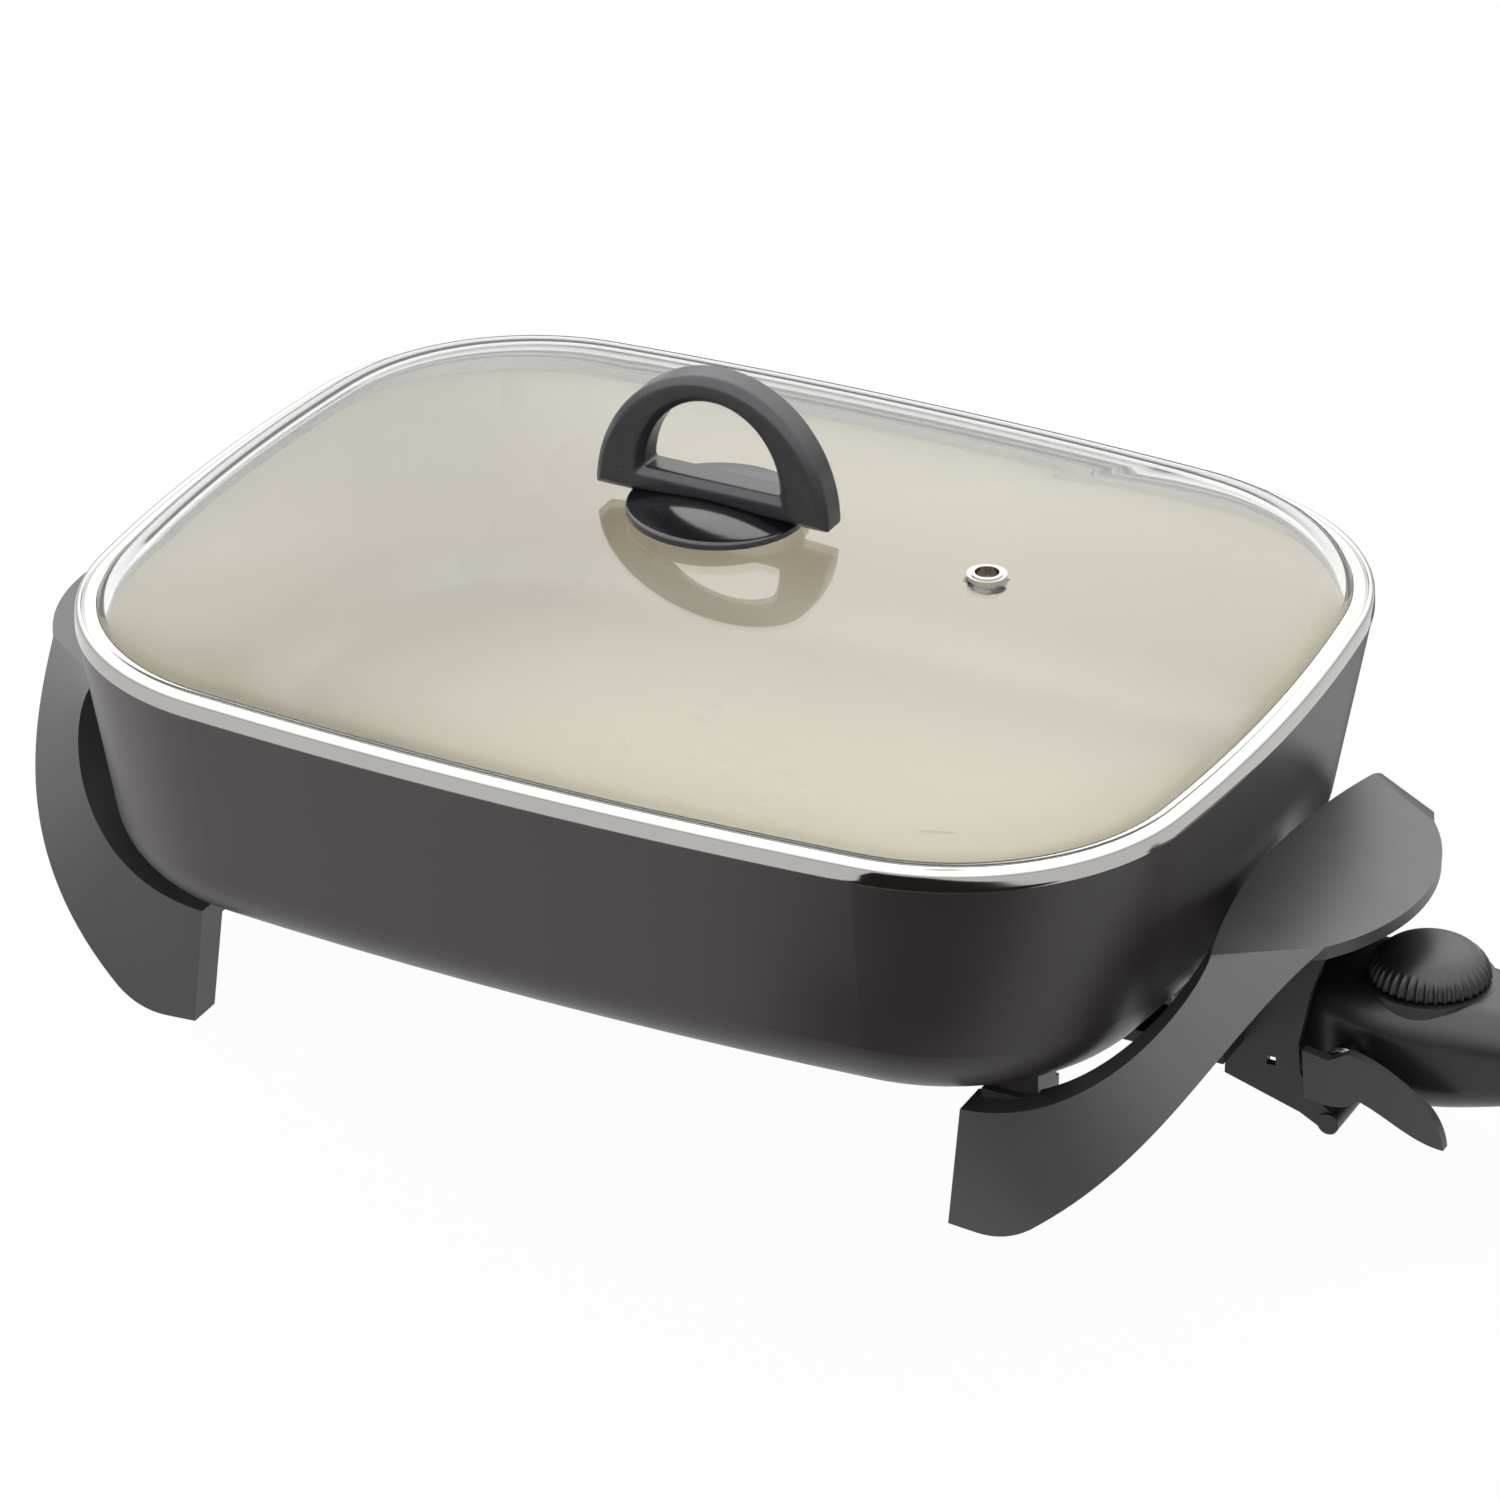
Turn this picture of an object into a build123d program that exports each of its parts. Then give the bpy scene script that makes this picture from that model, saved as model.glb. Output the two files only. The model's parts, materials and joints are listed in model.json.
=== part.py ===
from build123d import *
import os
from math import atan2, cos, degrees, hypot, radians, sin, sqrt, tan

# Electric skillet: a deep cast pan with a glass lid, an end frame at each end, a plug guard
# and a plug-in temperature controller. Millimetres, Z up, the table at Z = 0.
# Pieces are built with X = 0 under the middle of the pan. On export they all move along X by
# ORIGIN_SHIFT, so that the origin is under the middle of the whole appliance.

# ------------------------------------------------------------------ driving dimensions

# Plan outline of the lid's rim: bowed sides joined by corner arcs, all tangent
RIM_HALF_LENGTH = 198.0
RIM_HALF_WIDTH = 151.6
CORNER_R = 84.5
LONG_SIDE_R = 1427.0
SHORT_SIDE_R = 631.0

# Pan
PAN_BOTTOM_Z = 47.5
PAN_TOP_Z = 132.3
PAN_TOP_INSET = 0.3
PAN_TAPER_DEG = 9.2
PAN_BOTTOM_ROUND = 25.0
PAN_WALL = 3.2
PAN_FLOOR = 4.0
COATING = 0.6

# Heating element, in its ridge under the floor
ELEMENT_Z = 42.5
ELEMENT_R = 4.0
ELEMENT_HALF_LENGTH = 125.0
ELEMENT_HALF_WIDTH = 80.0
ELEMENT_CORNER_R = 35.0
ELEMENT_LEAD_R = 12.0
RIDGE_WIDTH = 16.0
RIDGE_BOTTOM_Z = 37.5
BLOCK_END_X = 170.0
BLOCK_HALF_WIDTH = 21.0
BLOCK_BOTTOM_Z = 36.0
PIN_Y = 14.0
PIN_R = 2.25
PIN_END_X = 214.0
INSULATOR_R = 4.6
INSULATOR_LENGTH = 6.0
PROBE_R = 3.5
PROBE_TIP_X = 150.0
PROBE_WELL_R = 3.8
PROBE_WELL_END_X = 147.0

# Lid
LID_GAP = 0.3
RIM_HEIGHT = 6.7
RIM_SHEET = 1.0
RIM_INWARD = 7.3
RIM_OUTER_ROUND = 2.0
RIM_GROOVE_IN = 4.5
RIM_GROOVE_WIDTH = 0.5
RIM_GROOVE_DEPTH = 0.3
SKIRT_BOTTOM_Z = 129.0
GLASS = 4.0
GLASS_TOP_Z = 165.0
HANDLE_HOLE_R = 3.5
DOME_SHOULDER = 8.5
DOME_FLAT_SHARE = 0.165
DOME_STEPS = [1.0, 0.996, 0.99, 0.98, 0.965, 0.945, 0.92, 0.88, 0.83, 0.77, 0.7, 0.62, 0.53, 0.44, 0.35,
              0.26, DOME_FLAT_SHARE]
VENT_X = 91.0
VENT_Y = 4.0
VENT_HOLE_R = 4.0
VENT_BODY_R = 5.2
VENT_COLLAR_R = 6.5
VENT_LIP = 0.5
VENT_TOP_COLLAR = 2.5
VENT_LOWER_COLLAR = 2.0
VENT_TOP_Z = 163.4
VENT_BOTTOM_Z = 155.9

# Lid handle
HANDLE_X = -3.0
HANDLE_HALF_LENGTH = 42.0
HANDLE_HEIGHT = 50.0
HANDLE_WIDTH = 14.0
HANDLE_EDGE = 2.5
GRIP_HALF_LENGTH = 24.5
GRIP_TOP_BAND = 9.0
GRIP_FLOOR = 13.5
HANDLE_FOOT_GAP = 4.0
BASE_R = 30.0
BASE_EDGE = 2.6
BASE_DOME = 3.6
GASKET = 1.0
GASKET_R = 11.0
GASKET_HOLE_R = 3.0
WASHER = 1.2
WASHER_R = 9.0
WASHER_HOLE_R = 2.8
HANDLE_SCREW_R = 2.5
HANDLE_SCREW_REACH = 7.5
HANDLE_SCREW_GAP = 0.5
HANDLE_SCREW_HEAD_R = 4.6
HANDLE_SCREW_HEAD = 2.8

# End frames: a flat wing, and each leg a ribbon that twists from the wing down to its foot
WING_TOP_Z = 87.5
WING_THICK = 4.5
WING_INNER_X = 192.0
WING_OUTER_X = 246.0
LEG_UPPER_EDGE = [(201.3, -65.4, 87.5), (205.4, -80.7, 84.5), (186.8, -113.8, 42.8), (136.9, -108.9, 37.8)]
LEG_LOWER_EDGE = [(231.0, -45.0, 87.5), (210.7, -97.4, 70.6), (206.4, -118.6, 28.5), (136.9, -118.9, -14.0)]
LEG_UPPER_THICK = [(-5.0, 11.0, -3.5), (-5.5, 12.0, -0.5), (-4.5, 12.0, 0), (0, 13.9, 0)]
LEG_LOWER_THICK = [(-5.0, 11.0, -3.5), (-1.5, 3.0, -5.0), (-3.0, 8.0, -3.0), (0, 12.0, 0)]
FOOT_FLAT_END_X = 147.5
FOOT_ROUND_END_X = 165.0
FOOT_ROUND_R = 29.0
FRAME_CLEARANCE = 0.4

# Where the frames and the guard are screwed to the pan
FRAME_SCREW_X = 149.0
FRAME_SCREW_Y = 90.0
TAB_LENGTH = 18.0
TAB_TOP_Z = 41.5
TAB_BOTTOM_Z = 28.0
TAB_INNER_Y = 81.0
TAB_OUTER_Y = 100.0
BOSS_HALF_WIDTH = 7.0
BOSS_TOP_Z = 50.0
GUARD_SCREW_X = 150.0
GUARD_SCREW_Y = 38.0
GUARD_BOSS_R = 6.5
GUARD_TAB = 4.5
GUARD_TAB_HALF = 8.0
SCREW_R = 2.0
SCREW_CLEARANCE = 0.1
SCREW_TIP_Z = 49.0
SCREW_HOLE_TOP_Z = 49.5
SCREW_HEAD_R = 4.0
FRAME_SCREW_HEAD = 2.6
GUARD_SCREW_HEAD = 2.4

# Plug guard: its side walls' outline in X and Z, then the rest
GUARD_OUTLINE = [
    (192.8, 24.0), (219.0, 16.3), (227.5, 11.8), (230.0, 18.4), (222.0, 24.5), (218.4, 31.0),
    (217.6, 41.0), (221.0, 61.0), (226.0, 76.0), (227.0, 82.8), (196.5, 82.8), (192.8, 74.0),
]
GUARD_OUTER_Y = 30.0
GUARD_WALL = 3.0
GUARD_INNER_X = 192.8
GUARD_BULKHEAD_Z = (24.0, 74.0)
GUARD_HOLE_X = (207.0, 210.0)
GUARD_HOLE_Z = (31.0, 34.0)
GUARD_PIN_HOLE_R = 3.85
GUARD_PROBE_HOLE_R = 4.7
BAR_X = 229.0
BAR_Z = 15.0
BAR_R = 3.6
BAR_HALF_LENGTH = 31.0

# Temperature controller: (x, half width, bottom z, top z, corner radius) from nose to tail
BODY_SECTIONS = [
    (204.0, 20.0, 28.0, 55.0, 6.0),
    (214.0, 21.5, 26.0, 57.0, 7.0),
    (230.0, 24.0, 22.0, 58.8, 10.0),
    (250.0, 24.5, 20.0, 58.8, 12.5),
    (270.0, 22.0, 22.5, 58.8, 13.0),
    (292.0, 17.5, 27.0, 56.0, 12.0),
    (316.0, 13.0, 31.0, 51.5, 9.0),
    (340.0, 10.5, 33.0, 48.0, 6.5),
]
BODY_WALL = 2.2
BODY_ROOM = (190.0, 360.0, -60.0, 60.0)
BODY_ROOM_TOP_Z = 90.0
PARTING_Z = 43.0
DIAL_X = 249.0
DIAL_R = 20.0
DIAL_BOTTOM_Z = 59.2
DIAL_SKIRT = 7.2
DIAL_CORE_R = 19.2
DIAL_EDGE = 8.0
DIAL_SHOULDER = 2.2
DIAL_SHOULDER_RISE = 1.0
DIAL_TOP = 11.0
DIAL_FLUTES = 30
FLUTE_R = 1.5
FLUTE_DEPTH = 0.6
DECK_R = 21.5
DECK_TOP_Z = 58.9
DECK_BOTTOM_Z = 50.0
DECK_SHEET = 2.5
DECK_HOLLOW_BOTTOM_Z = 45.0
DIAL_LIP = 0.6
SHAFT_R = 3.0
SHAFT_BOTTOM_Z = 46.0
SHAFT_IN_DIAL = 6.0
SHAFT_COLLAR_R = 5.5
SHAFT_COLLAR_BOTTOM_Z = 51.0
CAM_R = 6.0
CAM_OFF_CENTRE = 1.5
CAM_THICK = 2.5
SOCKET_R = 3.6
SOCKET_X = (207.0, 225.0)
SOCKET_BOTTOM_X = 222.0
SOCKET_BORE_R = 2.6
SOCKET_MOUTH_R = 3.05
SOCKET_SEAT_X = (205.0, 226.0)
SOCKET_MOUTH_X = (200.0, 207.0)
PROBE_SEAT_X = (200.0, 210.0)
SADDLE_X = (208.0, 220.0)
SADDLE_Y = (10.0, 18.0)
SADDLE_Z = (27.5, 41.5)
GLAND_END_X = 344.5
GLAND_START_X = 334.0
GLAND_SEAT_X = (330.0, 345.0)
GLAND_Z = 40.5
GLAND_R = 6.0
GLAND_FLANGE_R = 6.9
GLAND_FLANGE = 4.0
CORD_HOLE_R = 4.0
LENS_X = 283.0
LENS_R = 4.0
LENS_Z = (53.0, 58.4)
LENS_EDGE = 1.2
LAMP_X = (277.0, 288.0)
LAMP_Z = 48.5
LAMP_R = 2.6
LAMP_TIP = 2.0
SCREW_POSTS = [(238.0, -16.5), (238.0, 16.5), (306.0, 0.0)]
POST_R = 3.4
POST_HEAD_Z = 33.0
HOUSING_SCREW_R = 1.4
HOUSING_SCREW_HEAD_R = 2.8
HEAD_HOLE_R = 2.9
HOUSING_SCREW_HEAD = 2.0
HOUSING_SCREW_TIP_Z = 51.0

# Thermostat, inside the controller: a steel angle, and two blades between three blocks on it
ANGLE_X = (217.0, 266.0)
ANGLE_HALF_WIDTH = 6.0
ANGLE_SHEET = 1.5
ANGLE_BOTTOM_Z = 35.5
ANGLE_TOP_Z = 47.5
BLADE_BLOCK_X = (220.0, 228.0)
BLADE_BLOCK_HALF_WIDTH = 4.0
BLADE_X = (220.0, 264.0)
CONTACT_BLADE_Z = (39.0, 39.6)
CONTACT_BLADE_HALF_WIDTH = 2.5
BIMETAL_Z = (41.2, 42.0)
BIMETAL_HALF_WIDTH = 3.5
TOP_BLOCK_Z = 44.0
CONTACT_X = 260.0
CONTACT_R = 1.8
CONTACT_THICK = 0.7
PROBE_ROOT_X = 217.0
PROBE_TIP_ROUND = 2.5

# Release lever, beside the controller's near side: its outline in X and Z, then the rest
LEVER_FRONT = [(222.0, 25.0), (220.6, 42.0), (229.5, 40.6), (236.0, 44.6)]
LEVER_BACK = [(236.0, 44.6), (246.0, 41.6), (255.0, 36.8), (263.0, 31.6)]
LEVER_TIP = [(263.0, 31.6), (266.0, 28.0), (269.4, 18.4)]
LEVER_UNDERSIDE = [(269.4, 18.4), (259.0, 20.5), (249.0, 25.0), (240.0, 28.6)]
LEVER_HEEL = [(240.0, 28.6), (236.0, 25.4), (230.0, 24.2), (222.0, 25.0)]
LEVER_X = 232.0
LEVER_Z = 36.0
LEVER_OUTER_Y = -34.6
LEVER_THICK = 3.6
LEVER_HUB_R = 5.0
LEVER_HUB_END_Y = -27.3
LEVER_NOSE_X = (223.4, 227.0)
LEVER_NOSE_Z = (25.6, 30.0)
LEVER_NOSE_END_Y = -27.6
LEVER_FACE = 1.4
LEVER_BOSS_Y = (-27.0, -19.0)
LEVER_BOSS_R = 5.6
LEVER_PIN_R = 2.0
LEVER_PIN_END_Y = -18.0
SPRING_WIRE_R = 0.4
SPRING_COIL_R = 6.0
SPRING_TURNS = 3
SPRING_PITCH = 0.95
SPRING_Y = -27.6

RUN_FIT = 0.06
BODY_GAP = 0.3

ORIGIN_SHIFT = (GLAND_END_X - WING_OUTER_X) / 2

PAN_BASE_OFFSET = -PAN_TOP_INSET - (PAN_TOP_Z - PAN_BOTTOM_Z) * tan(radians(PAN_TAPER_DEG))
RIM_BOTTOM_Z = PAN_TOP_Z + LID_GAP
RIM_TOP_Z = RIM_BOTTOM_Z + RIM_HEIGHT
GLASS_FLANGE_TOP_Z = RIM_TOP_Z - RIM_SHEET
WING_BOTTOM_Z = WING_TOP_Z - WING_THICK
BASE_BOTTOM_Z = GLASS_TOP_Z + GASKET
EPS = 1.0


# ------------------------------------------------------------------ shared shapes

def plan(offset=0.0, size=1.0, z=0.0):
    """The bowed, round-cornered outline as a face, offset outwards or scaled about its middle."""
    end_centre = (RIM_HALF_LENGTH - SHORT_SIDE_R, 0.0)
    side_centre = (0.0, RIM_HALF_WIDTH - LONG_SIDE_R)
    from_end = SHORT_SIDE_R - CORNER_R
    from_side = LONG_SIDE_R - CORNER_R
    # the corner's centre lies where circles about the two side centres cross
    dx, dy = side_centre[0] - end_centre[0], side_centre[1] - end_centre[1]
    apart = hypot(dx, dy)
    along = (from_end ** 2 - from_side ** 2 + apart ** 2) / (2 * apart)
    across = sqrt(from_end ** 2 - along ** 2)
    cx = end_centre[0] + (along * dx - across * dy) / apart
    cy = end_centre[1] + (along * dy + across * dx) / apart
    end_angle = degrees(atan2(cy, cx - end_centre[0]))
    side_angle = degrees(atan2(cy - side_centre[1], cx))
    turn = side_angle - end_angle
    end_r = (SHORT_SIDE_R + offset) * size
    side_r = (LONG_SIDE_R + offset) * size
    corner_r = (CORNER_R + offset) * size
    ex, sy = end_centre[0] * size, side_centre[1] * size
    cx, cy = cx * size, cy * size
    edges = [
        CenterArc((ex, 0), end_r, -end_angle, 2 * end_angle),
        CenterArc((cx, cy), corner_r, end_angle, turn),
        CenterArc((0, sy), side_r, side_angle, 180 - 2 * side_angle),
        CenterArc((-cx, cy), corner_r, 180 - side_angle, turn),
        CenterArc((-ex, 0), end_r, 180 - end_angle, 2 * end_angle),
        CenterArc((-cx, -cy), corner_r, 180 + end_angle, turn),
        CenterArc((0, -sy), side_r, 180 + side_angle, 180 - 2 * side_angle),
        CenterArc((cx, -cy), corner_r, -side_angle, turn),
    ]
    return Pos(0, 0, z) * make_face(edges)


def box(x0, x1, y0, y1, z0, z1):
    """A block between two corners."""
    middle = Pos((x0 + x1) / 2, (y0 + y1) / 2, (z0 + z1) / 2)
    return middle * Box(x1 - x0, y1 - y0, z1 - z0)


def rod_z(x, y, z0, z1, r):
    """An upright cylinder."""
    return Pos(x, y, (z0 + z1) / 2) * Cylinder(r, z1 - z0)


def rod_x(x0, x1, y, z, r):
    """A cylinder along X."""
    return Pos((x0 + x1) / 2, y, z) * Rot(0, 90, 0) * Cylinder(r, x1 - x0)


def rod_y(x, y0, y1, z, r):
    """A cylinder along Y."""
    return Pos(x, (y0 + y1) / 2, z) * Rot(90, 0, 0) * Cylinder(r, y1 - y0)


def both_sides(piece):
    """A piece and its mirror image across the middle plane Y = 0."""
    return piece + mirror(piece, about=Plane.XZ)


def upright_plate(points, y0, y1):
    """A plate cut to an outline in X and Z, from y0 to y1."""
    outline = make_face(Polyline(*[(x, 0, z) for x, z in points], close=True))
    return Pos(0, y1, 0) * extrude(outline, amount=y1 - y0, dir=(0, -1, 0))


def dome_arc(edge_r, edge_z, top_z):
    """Profile of a spherical cap, from its edge to its top on the axis."""
    rise = top_z - edge_z
    sphere_r = (edge_r ** 2 + rise ** 2) / (2 * rise)
    middle_z = top_z - sphere_r + sqrt(sphere_r ** 2 - (edge_r / 2) ** 2)
    return ThreePointArc((edge_r, 0, edge_z), (edge_r / 2, 0, middle_z), (0, 0, top_z))


# ------------------------------------------------------------------ pan

def tapered_tub(inset, floor_z, top_z, round_r):
    """A solid with the pan's bowed plan, its tapered walls and its rounded bottom edge."""
    lean = tan(radians(PAN_TAPER_DEG))
    start = PAN_BASE_OFFSET + (floor_z - PAN_BOTTOM_Z) * lean - inset
    tub = extrude(plan(start, z=floor_z), amount=top_z - floor_z, taper=-PAN_TAPER_DEG)
    return fillet(tub.edges().group_by(Axis.Z)[0], round_r)


def pan_outside():
    return tapered_tub(0.0, PAN_BOTTOM_Z, PAN_TOP_Z, PAN_BOTTOM_ROUND)


def pan_cavity(extra, top_z):
    """The pan's hollow, less an extra thickness on the walls and floor."""
    inset = PAN_WALL + extra
    floor_z = PAN_BOTTOM_Z + PAN_FLOOR + extra
    return tapered_tub(inset, floor_z, top_z, PAN_BOTTOM_ROUND - inset)


def element_tube():
    """The tubular element: one loop, with its two ends side by side at the plug."""
    x, y, z = ELEMENT_HALF_LENGTH, ELEMENT_HALF_WIDTH, ELEMENT_Z
    route = [(BLOCK_END_X, PIN_Y, z), (x, PIN_Y, z), (x, y, z), (-x, y, z),
             (-x, -y, z), (x, -y, z), (x, -PIN_Y, z), (BLOCK_END_X, -PIN_Y, z)]
    bends = [ELEMENT_LEAD_R] + [ELEMENT_CORNER_R] * 4 + [ELEMENT_LEAD_R]
    path = FilletPolyline(*route, radius=bends)
    start = Plane(origin=route[0], z_dir=(-1, 0, 0))
    return sweep(start * Circle(ELEMENT_R), path=path)


def frame_boss(grow):
    """The block under the pan that a frame's tab is screwed to, grown sideways by a clearance."""
    half_x, half_y = TAB_LENGTH / 2 + grow, BOSS_HALF_WIDTH + grow
    return box(FRAME_SCREW_X - half_x, FRAME_SCREW_X + half_x,
               FRAME_SCREW_Y - half_y, FRAME_SCREW_Y + half_y, TAB_TOP_Z, BOSS_TOP_Z)


def pan_body(element):
    """Cast pan with the element's ridge, the plug block, the probe well and the screw bosses."""
    half = RIDGE_WIDTH / 2
    outer = RectangleRounded(2 * (ELEMENT_HALF_LENGTH + half), 2 * (ELEMENT_HALF_WIDTH + half),
                             ELEMENT_CORNER_R + half)
    inner = RectangleRounded(2 * (ELEMENT_HALF_LENGTH - half), 2 * (ELEMENT_HALF_WIDTH - half),
                             ELEMENT_CORNER_R - half)
    ridge = Pos(0, 0, RIDGE_BOTTOM_Z) * extrude(outer - inner, amount=PAN_BOTTOM_Z + EPS - RIDGE_BOTTOM_Z)
    block = box(ELEMENT_HALF_LENGTH, BLOCK_END_X, -BLOCK_HALF_WIDTH, BLOCK_HALF_WIDTH,
                BLOCK_BOTTOM_Z, BOSS_TOP_Z)
    boss = frame_boss(0.0)
    frame_bosses = both_sides(boss + mirror(boss, about=Plane.YZ))
    guard_bosses = both_sides(rod_z(GUARD_SCREW_X, GUARD_SCREW_Y, TAB_TOP_Z, BOSS_TOP_Z, GUARD_BOSS_R))
    pan = pan_outside() + ridge + block + frame_bosses + guard_bosses
    pan -= pan_cavity(0.0, PAN_TOP_Z + EPS)
    pan -= element
    pan -= rod_x(PROBE_WELL_END_X, BLOCK_END_X + EPS, 0, ELEMENT_Z, PROBE_WELL_R)
    for x, y in screw_places():
        pan -= rod_z(x, y, TAB_TOP_Z - EPS, SCREW_HOLE_TOP_Z, SCREW_R)
    return pan


def screw_places():
    """Every screw that goes up into the pan: four for the frames, two for the guard."""
    frame = [(sx * FRAME_SCREW_X, sy * FRAME_SCREW_Y) for sx in (-1, 1) for sy in (-1, 1)]
    guard = [(GUARD_SCREW_X, sy * GUARD_SCREW_Y) for sy in (-1, 1)]
    return frame + guard


def ceramic_coating():
    """The non-stick layer over the whole inside of the pan."""
    return pan_cavity(0.0, PAN_TOP_Z) - pan_cavity(COATING, PAN_TOP_Z + EPS)


def terminal_pins():
    return [rod_x(BLOCK_END_X, PIN_END_X, y, ELEMENT_Z, PIN_R) for y in (-PIN_Y, PIN_Y)]


def terminal_insulators():
    beads = []
    for y in (-PIN_Y, PIN_Y):
        bead = rod_x(BLOCK_END_X, BLOCK_END_X + INSULATOR_LENGTH, y, ELEMENT_Z, INSULATOR_R)
        beads.append(bead - rod_x(BLOCK_END_X - EPS, PIN_END_X, y, ELEMENT_Z, PIN_R))
    return beads


def cap_screw(x, y, seat_z, tip_z, r, head_r, head):
    """A screw driven upwards, its head under seat_z."""
    return rod_z(x, y, seat_z, tip_z, r) + rod_z(x, y, seat_z - head, seat_z, head_r)


def frame_screws():
    places = screw_places()[:4]
    return [cap_screw(x, y, TAB_BOTTOM_Z, SCREW_TIP_Z, SCREW_R, SCREW_HEAD_R, FRAME_SCREW_HEAD)
            for x, y in places]


def guard_screws():
    places = screw_places()[4:]
    return [cap_screw(x, y, TAB_TOP_Z - GUARD_TAB, SCREW_TIP_Z, SCREW_R, SCREW_HEAD_R, GUARD_SCREW_HEAD)
            for x, y in places]


# ------------------------------------------------------------------ end frames and guard

def shifted(points, steps):
    return [tuple(a + b for a, b in zip(p, s)) for p, s in zip(points, steps)]


def leg():
    """One leg: a bar between four curves, from the wing's crease down to the foot's end face."""
    upper = Bezier(*LEG_UPPER_EDGE)
    lower = Bezier(*LEG_LOWER_EDGE)
    upper_in = Bezier(*shifted(LEG_UPPER_EDGE, LEG_UPPER_THICK))
    lower_in = Bezier(*shifted(LEG_LOWER_EDGE, LEG_LOWER_THICK))
    ring = [upper, lower, lower_in, upper_in]
    faces = [Face.make_surface_from_curves(ring[i].edge(), ring[(i + 1) % 4].edge()) for i in range(4)]
    for end in (0, 1):
        corners = [curve @ end for curve in ring]
        faces.append(make_face(Polyline(*corners, close=True)).face())
    return Solid(Shell(faces)) & room_over_table()


def foot_lift(x):
    """How far the rounded end of a foot stands off the table at x."""
    return FOOT_ROUND_R - sqrt(FOOT_ROUND_R ** 2 - (x - FOOT_FLAT_END_X) ** 2)


def room_over_table():
    """Everything on the near side that is over the table and over the feet's rounded ends."""
    start, middle, end = FOOT_FLAT_END_X, (FOOT_FLAT_END_X + FOOT_ROUND_END_X) / 2, FOOT_ROUND_END_X
    far_x, far_z = 2 * RIM_HALF_LENGTH, 2 * WING_TOP_Z
    edges = [
        Line((0, 0, 0), (start, 0, 0)),
        ThreePointArc((start, 0, 0), (middle, 0, foot_lift(middle)), (end, 0, foot_lift(end))),
        Polyline((end, 0, foot_lift(end)), (far_x, 0, foot_lift(end)), (far_x, 0, far_z), (0, 0, far_z),
                 (0, 0, 0)),
    ]
    return extrude(make_face(edges), amount=2 * RIM_HALF_WIDTH, dir=(0, -1, 0))


def wing():
    """The flat grip between the two legs: hollowed towards the pan, bulging outwards."""
    inner_end, outer_end = LEG_UPPER_EDGE[0], LEG_LOWER_EDGE[0]
    (ix, iy), (ox, oy) = inner_end[:2], outer_end[:2]
    edges = [
        ThreePointArc((ix, iy), (WING_INNER_X, 0), (ix, -iy)),
        Line((ix, -iy), (ox, -oy)),
        ThreePointArc((ox, -oy), (WING_OUTER_X, 0), (ox, oy)),
        Line((ox, oy), (ix, iy)),
    ]
    return Pos(0, 0, WING_BOTTOM_Z) * extrude(make_face(edges), amount=WING_THICK)


def end_frame():
    """The right-hand frame: wing, two legs and their screw tabs, clear of the pan's wall and bosses."""
    tab = box(FRAME_SCREW_X - TAB_LENGTH / 2, FRAME_SCREW_X + TAB_LENGTH / 2, -TAB_OUTER_Y, -TAB_INNER_Y,
              TAB_BOTTOM_Z, TAB_TOP_Z)
    frame = wing() + both_sides(leg() + tab)
    frame -= tapered_tub(-FRAME_CLEARANCE, PAN_BOTTOM_Z - FRAME_CLEARANCE, PAN_TOP_Z, PAN_BOTTOM_ROUND)
    frame -= both_sides(frame_boss(FRAME_CLEARANCE))
    for y in (-FRAME_SCREW_Y, FRAME_SCREW_Y):
        frame -= rod_z(FRAME_SCREW_X, y, TAB_BOTTOM_Z - EPS, TAB_TOP_Z + EPS, SCREW_R + SCREW_CLEARANCE)
    return frame


def plug_guard():
    """Two walls beside the plug, a bulkhead with three holes, a cross bar and two screw tabs."""
    wall = upright_plate(GUARD_OUTLINE, -GUARD_OUTER_Y, -GUARD_OUTER_Y + GUARD_WALL)
    wall -= box(*GUARD_HOLE_X, -GUARD_OUTER_Y - EPS, -GUARD_OUTER_Y + GUARD_WALL + EPS, *GUARD_HOLE_Z)
    tab_bottom = TAB_TOP_Z - GUARD_TAB
    tab = box(GUARD_SCREW_X - GUARD_TAB_HALF, GUARD_INNER_X + 2 * GUARD_WALL, -GUARD_SCREW_Y - GUARD_TAB_HALF,
              -GUARD_OUTER_Y + GUARD_WALL, tab_bottom, TAB_TOP_Z)
    tab -= rod_z(GUARD_SCREW_X, -GUARD_SCREW_Y, tab_bottom - EPS, TAB_TOP_Z + EPS, SCREW_R + SCREW_CLEARANCE)
    bulkhead_x = (GUARD_INNER_X, GUARD_INNER_X + GUARD_WALL)
    bulkhead = box(*bulkhead_x, -GUARD_OUTER_Y, GUARD_OUTER_Y, *GUARD_BULKHEAD_Z)
    bar = rod_y(BAR_X, -BAR_HALF_LENGTH, BAR_HALF_LENGTH, BAR_Z, BAR_R)
    guard = both_sides(wall + tab) + bulkhead + bar
    for y, r in ((-PIN_Y, GUARD_PIN_HOLE_R), (0.0, GUARD_PROBE_HOLE_R), (PIN_Y, GUARD_PIN_HOLE_R)):
        guard -= rod_x(bulkhead_x[0] - EPS, bulkhead_x[1] + EPS, y, ELEMENT_Z, r)
    return guard


# ------------------------------------------------------------------ lid

def dome_height(share):
    """Height over the flange at a share of the plan's size: a steep shoulder, then a shallow crown."""
    crown = (GLASS_TOP_Z - GLASS_FLANGE_TOP_Z - DOME_SHOULDER) / (1 - DOME_FLAT_SHARE ** 2)
    return DOME_SHOULDER * sqrt(1 - share ** 30) + crown * (1 - share ** 2)


def dome_solid(drop, inset):
    """The dome down to its flange, lowered and drawn in for the inside of the glass."""
    start = -RIM_INWARD - inset
    flange_z = GLASS_FLANGE_TOP_Z - drop
    sections = [plan(start, size=share, z=flange_z + dome_height(share)) for share in DOME_STEPS]
    return loft(sections, ruled=True)


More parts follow.
